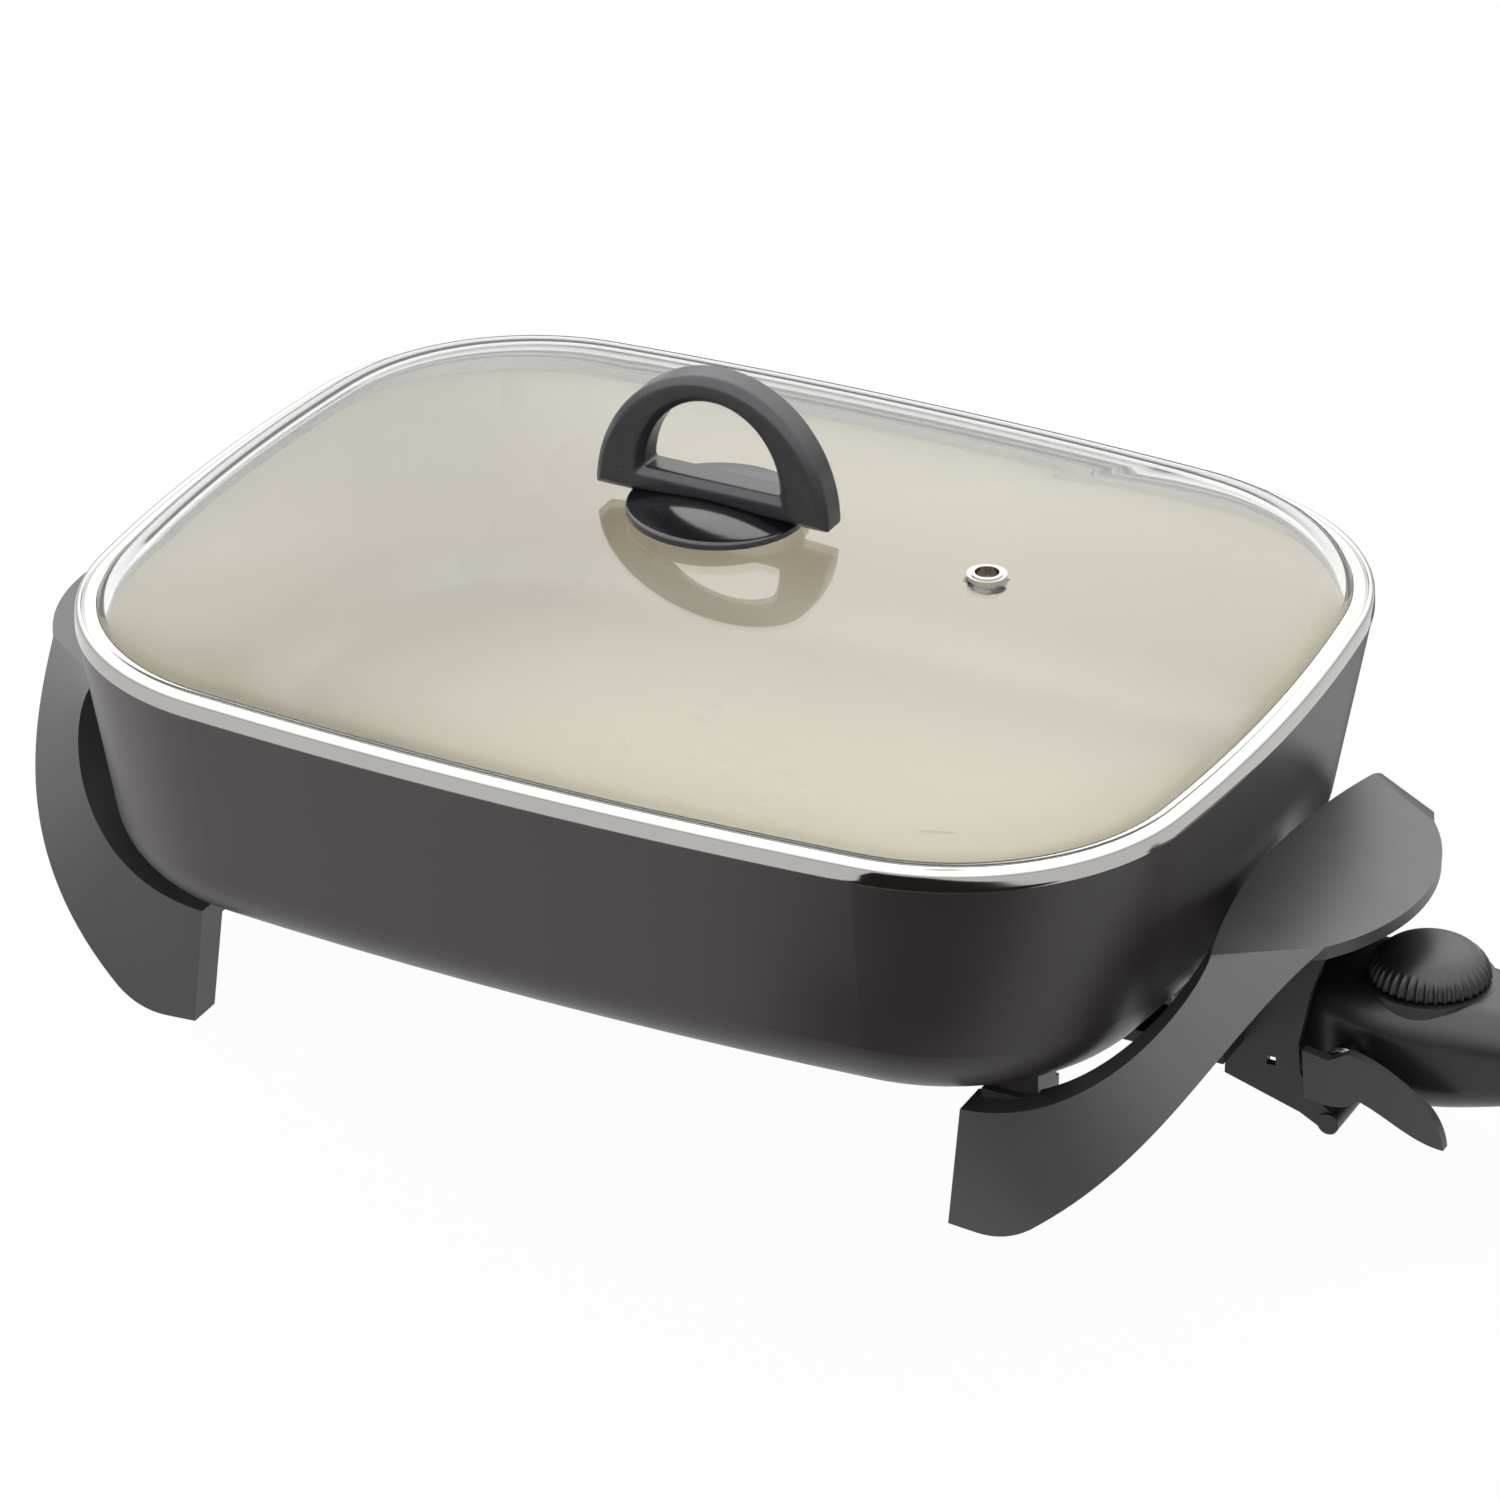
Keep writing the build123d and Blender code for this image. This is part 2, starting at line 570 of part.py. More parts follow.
def lid_glass():
    flange_bottom = GLASS_FLANGE_TOP_Z - GLASS
    flange = extrude(plan(-RIM_SHEET, z=flange_bottom), amount=GLASS)
    glass = flange + dome_solid(0.0, 0.0)
    glass -= dome_solid(GLASS, GLASS) + extrude(plan(-RIM_INWARD - GLASS, z=flange_bottom - EPS), amount=EPS)
    glass -= rod_z(HANDLE_X, 0, flange_bottom, GLASS_TOP_Z + EPS, HANDLE_HOLE_R)
    glass -= rod_z(VENT_X, VENT_Y, flange_bottom, GLASS_TOP_Z + EPS, VENT_BODY_R)
    return glass


def lid_rim():
    """Steel strip rolled to a channel round the glass, grooved on top, its skirt inside the pan."""
    inner = -RIM_INWARD
    rim = extrude(plan(0.0, z=RIM_BOTTOM_Z), amount=RIM_HEIGHT)
    top_edges = rim.edges().group_by(Axis.Z)[-1]
    rim = fillet(top_edges, RIM_OUTER_ROUND)
    rim -= extrude(plan(inner, z=RIM_BOTTOM_Z - EPS), amount=RIM_HEIGHT + 2 * EPS)
    rim -= extrude(plan(-RIM_SHEET, z=GLASS_FLANGE_TOP_Z - GLASS), amount=GLASS)
    groove_z = RIM_TOP_Z - RIM_GROOVE_DEPTH
    rim -= (extrude(plan(-RIM_GROOVE_IN, z=groove_z), amount=EPS)
            - extrude(plan(-RIM_GROOVE_IN - RIM_GROOVE_WIDTH, z=groove_z), amount=EPS))
    skirt_height = RIM_BOTTOM_Z + RIM_SHEET - SKIRT_BOTTOM_Z
    skirt = extrude(plan(inner + RIM_SHEET, z=SKIRT_BOTTOM_Z), amount=skirt_height)
    skirt -= extrude(plan(inner, z=SKIRT_BOTTOM_Z - EPS), amount=RIM_HEIGHT + 2 * EPS)
    return rim + skirt


def steam_vent(glass):
    """Metal grommet in the glass, with a collar above and below."""
    tube = rod_z(VENT_X, VENT_Y, VENT_BOTTOM_Z, VENT_TOP_Z, VENT_BODY_R)
    collar_top = VENT_TOP_Z - VENT_LIP
    collars = rod_z(VENT_X, VENT_Y, collar_top - VENT_TOP_COLLAR, collar_top, VENT_COLLAR_R)
    collars += rod_z(VENT_X, VENT_Y, VENT_BOTTOM_Z, VENT_BOTTOM_Z + VENT_LOWER_COLLAR, VENT_COLLAR_R)
    grommet = tube + collars
    grommet -= rod_z(VENT_X, VENT_Y, VENT_BOTTOM_Z - EPS, VENT_TOP_Z + EPS, VENT_HOLE_R)
    return grommet - glass


def handle_base():
    """Round heat guard under the loop: thin edge, gently domed top."""
    top = BASE_EDGE + BASE_DOME
    profile = make_face([
        Line((0, 0, 0), (BASE_R, 0, 0)),
        Line((BASE_R, 0, 0), (BASE_R, 0, BASE_EDGE)),
        dome_arc(BASE_R, BASE_EDGE, top),
        Line((0, 0, top), (0, 0, 0)),
    ])
    disc = Pos(HANDLE_X, 0, BASE_BOTTOM_Z) * revolve(profile, Axis.Z)
    return disc - rod_z(HANDLE_X, 0, GLASS_TOP_Z, BASE_BOTTOM_Z + top + EPS, HANDLE_HOLE_R)


def half_ellipse(half_length, height, floor_z):
    """The upper half of an ellipse in X and Z, closed by a flat floor."""
    arch = Plane.XZ * (Ellipse(half_length, height) & Pos(0, height) * Rectangle(3 * half_length, 2 * height))
    return Pos(HANDLE_X, 0, floor_z) * arch


def lid_handle(base):
    """D-shaped loop: an arch on a bar, with bevelled edges, seated over the base's dome."""
    foot_z = GLASS_TOP_Z + HANDLE_FOOT_GAP
    grip_floor = GLASS_TOP_Z + GRIP_FLOOR
    crown = GLASS_TOP_Z + HANDLE_HEIGHT
    outer = half_ellipse(HANDLE_HALF_LENGTH, crown - foot_z, foot_z)
    window = half_ellipse(GRIP_HALF_LENGTH, crown - GRIP_TOP_BAND - grip_floor, grip_floor)
    loop = Pos(0, HANDLE_WIDTH / 2, 0) * extrude(outer - window, amount=HANDLE_WIDTH, dir=(0, -1, 0))
    sides = loop.faces().filter_by(Axis.Y)
    loop = chamfer(sides.edges(), HANDLE_EDGE)
    loop -= base
    hole_top = foot_z + HANDLE_SCREW_REACH + HANDLE_SCREW_GAP
    return loop - rod_z(HANDLE_X, 0, foot_z - EPS, hole_top, HANDLE_SCREW_R)


def handle_screw():
    under = GLASS_TOP_Z - GLASS - WASHER
    tip = GLASS_TOP_Z + HANDLE_FOOT_GAP + HANDLE_SCREW_REACH
    return cap_screw(HANDLE_X, 0, under, tip, HANDLE_SCREW_R, HANDLE_SCREW_HEAD_R, HANDLE_SCREW_HEAD)


def ring(z0, z1, outer_r, inner_r):
    return rod_z(HANDLE_X, 0, z0, z1, outer_r) - rod_z(HANDLE_X, 0, z0 - EPS, z1 + EPS, inner_r)


def handle_washer():
    under = GLASS_TOP_Z - GLASS
    return ring(under - WASHER, under, WASHER_R, WASHER_HOLE_R)


def handle_gasket():
    return ring(GLASS_TOP_Z, BASE_BOTTOM_Z, GASKET_R, GASKET_HOLE_R)


# ------------------------------------------------------------------ controller

def body_loft(wall):
    """The controller's rounded body, drawn in by a wall thickness."""
    sections = []
    for x, half, low, high, corner in BODY_SECTIONS:
        end_shift = wall if x == BODY_SECTIONS[0][0] else -wall if x == BODY_SECTIONS[-1][0] else 0.0
        shape = RectangleRounded(2 * (half - wall), high - low - 2 * wall, corner - 0.6 * wall)
        sections.append(Plane((x + end_shift, 0, (low + high) / 2), x_dir=(0, 1, 0), z_dir=(1, 0, 0)) * shape)
    return loft(sections)


def controller_shells():
    """Upper and lower housings, parted on a level plane, with their posts, boss and holes."""
    outside = body_loft(0.0)
    deck = rod_z(DIAL_X, 0, DECK_BOTTOM_Z, DECK_TOP_Z, DECK_R)
    deck_hollow = rod_z(DIAL_X, 0, DECK_HOLLOW_BOTTOM_Z, DECK_TOP_Z - DECK_SHEET, DECK_R - BODY_WALL)
    posts = Part() + [rod_z(x, y, 0, BODY_ROOM_TOP_Z, POST_R) for x, y in SCREW_POSTS]
    shell = (outside + deck) - body_loft(BODY_WALL) - deck_hollow
    shell += posts & outside
    shell += rod_z(DIAL_X, 0, SHAFT_COLLAR_BOTTOM_Z, DECK_TOP_Z, SHAFT_COLLAR_R)
    shell += rod_y(LEVER_X, *LEVER_BOSS_Y, LEVER_Z, LEVER_BOSS_R)
    shell += both_sides(box(*SADDLE_X, *SADDLE_Y, *SADDLE_Z))
    shell -= both_sides(rod_x(*SOCKET_SEAT_X, PIN_Y, ELEMENT_Z, SOCKET_R))
    shell -= both_sides(rod_x(*SOCKET_MOUTH_X, PIN_Y, ELEMENT_Z, SOCKET_MOUTH_R))
    shell -= rod_x(*PROBE_SEAT_X, 0, ELEMENT_Z, PROBE_R)
    shell -= rod_z(DIAL_X, 0, PARTING_Z, DIAL_BOTTOM_Z + EPS, SHAFT_R + RUN_FIT)
    shell -= rod_z(LENS_X, 0, PARTING_Z, DIAL_BOTTOM_Z + EPS, LENS_R)
    shell -= rod_y(LEVER_X, LEVER_OUTER_Y, LEVER_PIN_END_Y, LEVER_Z, LEVER_PIN_R)
    shell -= rod_x(*GLAND_SEAT_X, 0, GLAND_Z, GLAND_R)
    for x, y in SCREW_POSTS:
        shell -= rod_z(x, y, 0, POST_HEAD_Z, HEAD_HOLE_R)
        shell -= rod_z(x, y, 0, HOUSING_SCREW_TIP_Z + EPS, HOUSING_SCREW_R)
    upper = shell & box(*BODY_ROOM, PARTING_Z, BODY_ROOM_TOP_Z)
    lower = shell & box(*BODY_ROOM, 0, PARTING_Z)
    return upper, lower


def housing_screws():
    return [cap_screw(x, y, POST_HEAD_Z, HOUSING_SCREW_TIP_Z, HOUSING_SCREW_R, HOUSING_SCREW_HEAD_R,
                      HOUSING_SCREW_HEAD) for x, y in SCREW_POSTS]


def dial_knob():
    """Dial with a fluted skirt and a domed top."""
    lip_z, shoulder_r = DIAL_EDGE - DIAL_LIP, DIAL_CORE_R - DIAL_SHOULDER
    shoulder_z = DIAL_EDGE + DIAL_SHOULDER_RISE
    profile = make_face([
        Line((0, 0, 0), (DIAL_CORE_R, 0, 0)),
        Line((DIAL_CORE_R, 0, 0), (DIAL_CORE_R, 0, lip_z)),
        ThreePointArc((DIAL_CORE_R, 0, lip_z),
                      (DIAL_CORE_R - DIAL_LIP, 0, DIAL_EDGE + DIAL_SHOULDER_RISE / 2),
                      (shoulder_r, 0, shoulder_z)),
        dome_arc(shoulder_r, shoulder_z, DIAL_TOP),
        Line((0, 0, DIAL_TOP), (0, 0, 0)),
    ])
    flute = Pos(DIAL_R + FLUTE_R - FLUTE_DEPTH, 0) * Circle(FLUTE_R)
    flutes = Sketch() + [Rot(0, 0, i * 360 / DIAL_FLUTES) * flute for i in range(DIAL_FLUTES)]
    skirt = extrude(Circle(DIAL_R) - flutes, amount=DIAL_SKIRT)
    knob = Pos(DIAL_X, 0, DIAL_BOTTOM_Z) * (skirt + revolve(profile, Axis.Z))
    return knob - rod_z(DIAL_X, 0, DIAL_BOTTOM_Z - EPS, DIAL_BOTTOM_Z + SHAFT_IN_DIAL, SHAFT_R)


def dial_shaft():
    """Shaft down through the deck, with the eccentric cam that loads the bimetal."""
    shaft = rod_z(DIAL_X, 0, SHAFT_BOTTOM_Z, DIAL_BOTTOM_Z + SHAFT_IN_DIAL, SHAFT_R)
    return shaft + rod_z(DIAL_X + CAM_OFF_CENTRE, 0, SHAFT_BOTTOM_Z, SHAFT_BOTTOM_Z + CAM_THICK, CAM_R)


def probe_rod():
    rod = rod_x(PROBE_TIP_X, PROBE_ROOT_X, 0, ELEMENT_Z, PROBE_R)
    return fillet(rod.edges().sort_by(Axis.X)[0], PROBE_TIP_ROUND)


def terminal_sockets():
    sockets = []
    for y in (-PIN_Y, PIN_Y):
        tube = rod_x(*SOCKET_X, y, ELEMENT_Z, SOCKET_R)
        sockets.append(tube - rod_x(SOCKET_X[0] - EPS, SOCKET_BOTTOM_X, y, ELEMENT_Z, SOCKET_BORE_R))
    return sockets


def across(half_width, x_range, z_range):
    """A block that straddles the middle plane Y = 0."""
    return box(*x_range, -half_width, half_width, *z_range)


def thermostat_frame():
    """Steel angle: the probe is staked in its upright, the blades stand on its foot."""
    foot = across(ANGLE_HALF_WIDTH, ANGLE_X, (ANGLE_BOTTOM_Z, ANGLE_BOTTOM_Z + ANGLE_SHEET))
    upright = across(ANGLE_HALF_WIDTH, (ANGLE_X[0], ANGLE_X[0] + ANGLE_SHEET), (ANGLE_BOTTOM_Z, ANGLE_TOP_Z))
    return foot + upright


def blade_insulators():
    """Ceramic blocks that hold the two blades apart."""
    heights = [(ANGLE_BOTTOM_Z + ANGLE_SHEET, CONTACT_BLADE_Z[0]), (CONTACT_BLADE_Z[1], BIMETAL_Z[0]),
               (BIMETAL_Z[1], TOP_BLOCK_Z)]
    return [across(BLADE_BLOCK_HALF_WIDTH, BLADE_BLOCK_X, z_range) for z_range in heights]


def contact_blade():
    return across(CONTACT_BLADE_HALF_WIDTH, BLADE_X, CONTACT_BLADE_Z)


def contact_points():
    low, high = CONTACT_BLADE_Z[1], BIMETAL_Z[0]
    return [rod_z(CONTACT_X, 0, low, low + CONTACT_THICK, CONTACT_R),
            rod_z(CONTACT_X, 0, high - CONTACT_THICK, high, CONTACT_R)]


def bimetal_strip():
    return across(BIMETAL_HALF_WIDTH, BLADE_X, BIMETAL_Z)


def indicator_lens():
    lens = rod_z(LENS_X, 0, *LENS_Z, LENS_R)
    return fillet(lens.edges().sort_by(Axis.Z)[-1], LENS_EDGE)


def neon_lamp():
    lamp = rod_x(*LAMP_X, 0, LAMP_Z, LAMP_R)
    return fillet(lamp.edges().sort_by(Axis.X)[-1], LAMP_TIP)


def cord_gland():
    """Ring in the tail that the cord enters by."""
    gland = rod_x(GLAND_START_X, GLAND_END_X, 0, GLAND_Z, GLAND_R)
    gland += rod_x(GLAND_END_X - GLAND_FLANGE, GLAND_END_X, 0, GLAND_Z, GLAND_FLANGE_R)
    return gland - rod_x(GLAND_START_X - EPS, GLAND_END_X + EPS, 0, GLAND_Z, CORD_HOLE_R)


def in_xz(points):
    return [(x, 0, z) for x, z in points]


def release_lever():
    """Flat lever: a broad plate at its pivot, a plain outer face, and an arm that slopes down to a tip."""
    outline = make_face([
        Polyline(*in_xz(LEVER_FRONT)),
        Spline(*in_xz(LEVER_BACK)),
        Spline(*in_xz(LEVER_TIP)),
        Spline(*in_xz(LEVER_UNDERSIDE)),
        Spline(*in_xz(LEVER_HEEL)),
    ])
    inner_y = LEVER_OUTER_Y + LEVER_THICK
    lever = Pos(0, inner_y, 0) * extrude(outline, amount=LEVER_THICK, dir=(0, -1, 0))
    lever += rod_y(LEVER_X, LEVER_OUTER_Y, LEVER_HUB_END_Y, LEVER_Z, LEVER_HUB_R)
    lever += box(*LEVER_NOSE_X, inner_y, LEVER_NOSE_END_Y, *LEVER_NOSE_Z)
    return lever - rod_y(LEVER_X, LEVER_OUTER_Y + LEVER_FACE, LEVER_PIN_END_Y, LEVER_Z, LEVER_PIN_R + RUN_FIT)


def lever_pin():
    """Pin pressed into the housing's boss, its other end blind in the lever."""
    return rod_y(LEVER_X, LEVER_OUTER_Y + LEVER_FACE + BODY_GAP, LEVER_PIN_END_Y, LEVER_Z, LEVER_PIN_R)


def lever_spring():
    """Torsion spring wound round the lever's hub."""
    path = Helix(SPRING_PITCH, SPRING_PITCH * SPRING_TURNS, SPRING_COIL_R)
    start = Plane(origin=path @ 0, z_dir=path % 0)
    coil = sweep(start * Circle(SPRING_WIRE_R), path=path)
    return Pos(LEVER_X, SPRING_Y, LEVER_Z) * Rot(90, 0, 0) * coil


# ------------------------------------------------------------------ build and write

def solids_of(piece):
    """One piece, or a list of pieces that share a node, as one compound."""
    pieces = piece if isinstance(piece, list) else [piece]
    return Compound(children=[solid for one in pieces for solid in one.solids()])


def build():
    element = element_tube()
    glass = lid_glass()
    base = handle_base()
    upper, lower = controller_shells()
    frame = end_frame()
    return {
        "pan_body": pan_body(element),
        "ceramic_coating": ceramic_coating(),
        "heating_element": element,
        "terminal_pins": terminal_pins(),
        "terminal_insulators": terminal_insulators(),
        "left_end_frame": mirror(frame, about=Plane.YZ),
        "right_end_frame": frame,
        "frame_screws": frame_screws(),
        "plug_guard": plug_guard(),
        "guard_screws": guard_screws(),
        "lid_glass": glass,
        "lid_rim": lid_rim(),
        "steam_vent": steam_vent(glass),
        "lid_handle": lid_handle(base),
        "handle_base": base,
        "handle_screw": handle_screw(),
        "handle_washer": handle_washer(),
        "handle_gasket": handle_gasket(),
        "controller_upper_housing": upper,
        "controller_lower_housing": lower,
        "housing_screws": housing_screws(),
        "probe_rod": probe_rod(),
        "terminal_sockets": terminal_sockets(),
        "thermostat_frame": thermostat_frame(),
        "blade_insulators": blade_insulators(),
        "contact_blade": contact_blade(),
        "contact_points": contact_points(),
        "bimetal_strip": bimetal_strip(),
        "indicator_lens": indicator_lens(),
        "neon_lamp": neon_lamp(),
        "cord_gland": cord_gland(),
        "lever_pin": lever_pin(),
        "lever_spring": lever_spring(),
        "dial_knob": dial_knob(),
        "dial_shaft": dial_shaft(),
        "release_lever": release_lever(),
    }


os.makedirs("parts", exist_ok=True)
for name, piece in build().items():
    placed = Pos(-ORIGIN_SHIFT, 0, 0) * solids_of(piece)
    export_step(placed, os.path.join("parts", name + ".step"))
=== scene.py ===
import bpy
import bmesh
import json
import math
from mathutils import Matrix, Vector

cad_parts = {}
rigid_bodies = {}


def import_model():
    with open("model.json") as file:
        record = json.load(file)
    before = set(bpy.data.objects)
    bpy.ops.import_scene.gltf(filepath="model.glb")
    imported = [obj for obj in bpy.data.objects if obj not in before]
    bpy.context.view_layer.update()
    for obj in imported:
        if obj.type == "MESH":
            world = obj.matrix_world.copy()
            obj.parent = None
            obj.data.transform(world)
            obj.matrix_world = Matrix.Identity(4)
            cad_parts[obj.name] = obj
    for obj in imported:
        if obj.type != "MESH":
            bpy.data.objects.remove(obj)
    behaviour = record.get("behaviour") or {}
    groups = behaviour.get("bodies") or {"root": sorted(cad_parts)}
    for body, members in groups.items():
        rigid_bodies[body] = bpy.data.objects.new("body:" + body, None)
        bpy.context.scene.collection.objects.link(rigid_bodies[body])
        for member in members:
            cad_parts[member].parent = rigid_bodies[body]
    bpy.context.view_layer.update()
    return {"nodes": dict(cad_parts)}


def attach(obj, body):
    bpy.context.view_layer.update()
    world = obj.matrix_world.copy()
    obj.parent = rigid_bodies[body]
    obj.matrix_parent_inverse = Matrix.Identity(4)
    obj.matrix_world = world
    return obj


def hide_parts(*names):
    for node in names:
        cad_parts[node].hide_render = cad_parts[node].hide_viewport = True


for startup_object in list(bpy.data.objects):
    bpy.data.objects.remove(startup_object)

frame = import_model()
nodes = frame["nodes"]


# ---------------------------------------------------------------- cast pan
# The pan is die-cast aluminium, sprayed outside with a dark heat-proof coating and baked.
# The spray dries with a fine grain, so the surface is satin and its highlights are broad.

MM = 0.001
MOTTLE_LOW, MOTTLE_HIGH = 0.3, 0.7  # the noise between which the gloss varies
GRAIN_STRENGTH = 0.35
LINED_FROM_Z, LOOKS_UP = 125.0, 0.3  # over this height, a face that looks up this far is lined


def paint(hex_colour):
    """A colour written as sRGB hex, as the linear values that a shader takes."""
    def linear(value):
        return value / 12.92 if value <= 0.04045 else ((value + 0.055) / 1.055) ** 2.4
    parts = [int(hex_colour[i:i + 2], 16) / 255 for i in (1, 3, 5)]
    return (*[linear(part) for part in parts], 1.0)


def add_node(tree, kind, settings=None, links=None):
    """Adds one node. A link's value is either another node's output or a plain number."""
    node = tree.nodes.new(kind)
    for name, value in (settings or {}).items():
        setattr(node, name, value)
    for socket, value in (links or {}).items():
        if isinstance(value, bpy.types.NodeSocket):
            tree.links.new(value, node.inputs[socket])
        else:
            node.inputs[socket].default_value = value
    return node


def new_material(name):
    """A material with an empty tree and its output."""
    material = bpy.data.materials.new(name)
    material.use_nodes = True
    tree = material.node_tree
    tree.nodes.clear()
    return material, tree, add_node(tree, "ShaderNodeOutputMaterial")


def grained(name, dark, light, mottle_mm, grain_mm, grain_depth_mm, rough_low, rough_high, **surface):
    """A solid finish whose colour mottles slowly, with a fine raised grain and uneven gloss."""
    material, tree, out = new_material(name)
    place = add_node(tree, "ShaderNodeTexCoord").outputs["Object"]
    mottle = add_node(tree, "ShaderNodeTexNoise", None,
                      {"Vector": place, "Scale": 1 / (mottle_mm * MM), "Detail": 3.0})
    grain = add_node(tree, "ShaderNodeTexNoise", None,
                     {"Vector": place, "Scale": 1 / (grain_mm * MM), "Detail": 2.0})
    colour = add_node(tree, "ShaderNodeMix", {"data_type": "RGBA"},
                      {0: mottle.outputs["Fac"], 6: paint(dark), 7: paint(light)})
    gloss = add_node(tree, "ShaderNodeMapRange", None,
                     {"Value": mottle.outputs["Fac"], "From Min": MOTTLE_LOW, "From Max": MOTTLE_HIGH,
                      "To Min": rough_low, "To Max": rough_high})
    raised = add_node(tree, "ShaderNodeBump", None,
                      {"Height": grain.outputs["Fac"], "Strength": GRAIN_STRENGTH,
                      "Distance": grain_depth_mm * MM})
    shader = add_node(tree, "ShaderNodeBsdfPrincipled", None,
                      {"Base Color": colour.outputs[2], "Roughness": gloss.outputs["Result"],
                       "Normal": raised.outputs["Normal"]})
    for socket, value in surface.items():
        shader.inputs[socket.replace("_", " ")].default_value = value
    tree.links.new(shader.outputs["BSDF"], out.inputs["Surface"])
    return material


def over_the_edge(material, cream_hex, rough):
    """Lays a second colour on the faces of the edge that look up, where the lining runs over it."""
    tree = material.node_tree
    out = next(node for node in tree.nodes if node.bl_idname == "ShaderNodeOutputMaterial")
    body = out.inputs["Surface"].links[0].from_socket
    place = add_node(tree, "ShaderNodeSeparateXYZ", None,
                     {0: add_node(tree, "ShaderNodeTexCoord").outputs["Object"]})
    facing = add_node(tree, "ShaderNodeSeparateXYZ", None,
                      {0: add_node(tree, "ShaderNodeTexCoord").outputs["Normal"]})
    high = add_node(tree, "ShaderNodeMath", {"operation": "GREATER_THAN"},
                    {0: place.outputs["Z"], 1: LINED_FROM_Z * MM})
    flat = add_node(tree, "ShaderNodeMath", {"operation": "GREATER_THAN"},
                    {0: facing.outputs["Z"], 1: LOOKS_UP})
    both = add_node(tree, "ShaderNodeMath", {"operation": "MULTIPLY"},
                    {0: high.outputs[0], 1: flat.outputs[0]})
    cream = add_node(tree, "ShaderNodeBsdfPrincipled", None,
                     {"Base Color": paint(cream_hex), "Roughness": rough})
    laid = add_node(tree, "ShaderNodeMixShader", None,
                    {0: both.outputs[0], 1: body, 2: cream.outputs["BSDF"]})
    tree.links.new(laid.outputs["Shader"], out.inputs["Surface"])


def finish_node(node, material):
    """Gives a CAD node one material in place of the one that it came with."""
    mesh = nodes[node].data
    mesh.materials.clear()
    mesh.materials.append(material)


baked_coating = grained("baked_dark_coating", "#352F30", "#3C3637", 60.0, 0.9, 0.05, 0.34, 0.42,
                        Specular_IOR_Level=0.5)
over_the_edge(baked_coating, "#C8BDAA", 0.38)
finish_node("pan_body", baked_coating)


# ---------------------------------------------------------------- non-stick lining
# A sprayed sol-gel ceramic, fired on the bare casting. It is cream, opaque and half glossy,
# and flows out almost flat, with a slight orange peel.

cream_ceramic = grained("fired_cream_ceramic", "#C8BEAC", "#CFC5B3", 90.0, 4.0, 0.006, 0.26, 0.32,
                        Coat_Weight=0.15, Coat_Roughness=0.25)
finish_node("ceramic_coating", cream_ceramic)


# ---------------------------------------------------------------- element, pins and beads
# The element is a steel tube cast into the floor. Its two nickel-plated pins leave the plug
# block through white steatite beads, which are pressed and fired with a chalky skin.

nickel = grained("nickel_plated_steel", "#A8A6A2", "#B8B6B2", 8.0, 0.6, 0.02, 0.22, 0.34, Metallic=1.0)
steatite = grained("fired_steatite", "#DAD6CC", "#E6E2DA", 5.0, 0.5, 0.04, 0.55, 0.7)
for node in ("heating_element", "terminal_pins"):
    finish_node(node, nickel)
finish_node("terminal_insulators", steatite)


# ---------------------------------------------------------------- end frames and plug guard
# Both frames and the guard are compression-moulded phenolic, black right through. The mould
# is spark-eroded, so they come out satin, with a grain that is just felt. Nickel-plated
# screws hold them up under the casting.

phenolic = grained("moulded_black_phenolic", "#363637", "#3D3D3E", 45.0, 0.7, 0.06, 0.33, 0.43,
                   Specular_IOR_Level=0.65)
guard_phenolic = grained("moulded_guard_phenolic", "#262324", "#2C292A", 30.0, 0.7, 0.05, 0.38, 0.48)
for node in ("left_end_frame", "right_end_frame"):
    finish_node(node, phenolic)
finish_node("plug_guard", guard_phenolic)
for node in ("frame_screws", "guard_screws"):
    finish_node(node, nickel)


# ---------------------------------------------------------------- lid glass
# Tempered soda-lime glass, pressed into a shallow dome over a flat flange. The pressing has a
# steep shoulder all round. Where the glass is seen aslant, a painted blue-grey shade is mixed in,
# standing in for the shaded floor seen through it; faced, it is clear.

PAN_MIDDLE_X = -49.25
RIM_HALF_LENGTH, RIM_HALF_WIDTH = 198.0, 151.6
CORNER_R, LONG_SIDE_R, SHORT_SIDE_R = 84.5, 1427.0, 631.0
RIM_INWARD, RIM_SHEET = 7.3, 1.0
GLASS_THICK, FLANGE_TOP_Z, GLASS_TOP_Z = 4.0, 138.3, 165.0
DOME_SHOULDER = 8.5
DOME_SQUARENESS = 30  # the higher, the closer the shoulder keeps to the wall
GLASS_RINGS, GLASS_SPOKES = 64, 256
HANDLE_X, HANDLE_HOLE_R, HANDLE_HOLE_Z = -3.0, 3.5, GLASS_TOP_Z - 2
VENT_X, VENT_Y, VENT_HOLE_R, VENT_HOLE_Z = 91.0, 4.0, 5.2, GLASS_TOP_Z - 6
DRILL_DEPTH, DRILL_SIDES = 20.0, 64
RIPPLE_MM = 70.0  # from wave to wave in the pressing
PAINTED_SHADE_STARTS, PAINTED_SHADE_FULL, PAINTED_SHADE_AMOUNT = 0.80, 0.97, 0.62  # how aslant the glass must be for the painted shade to start and to be full, and how much
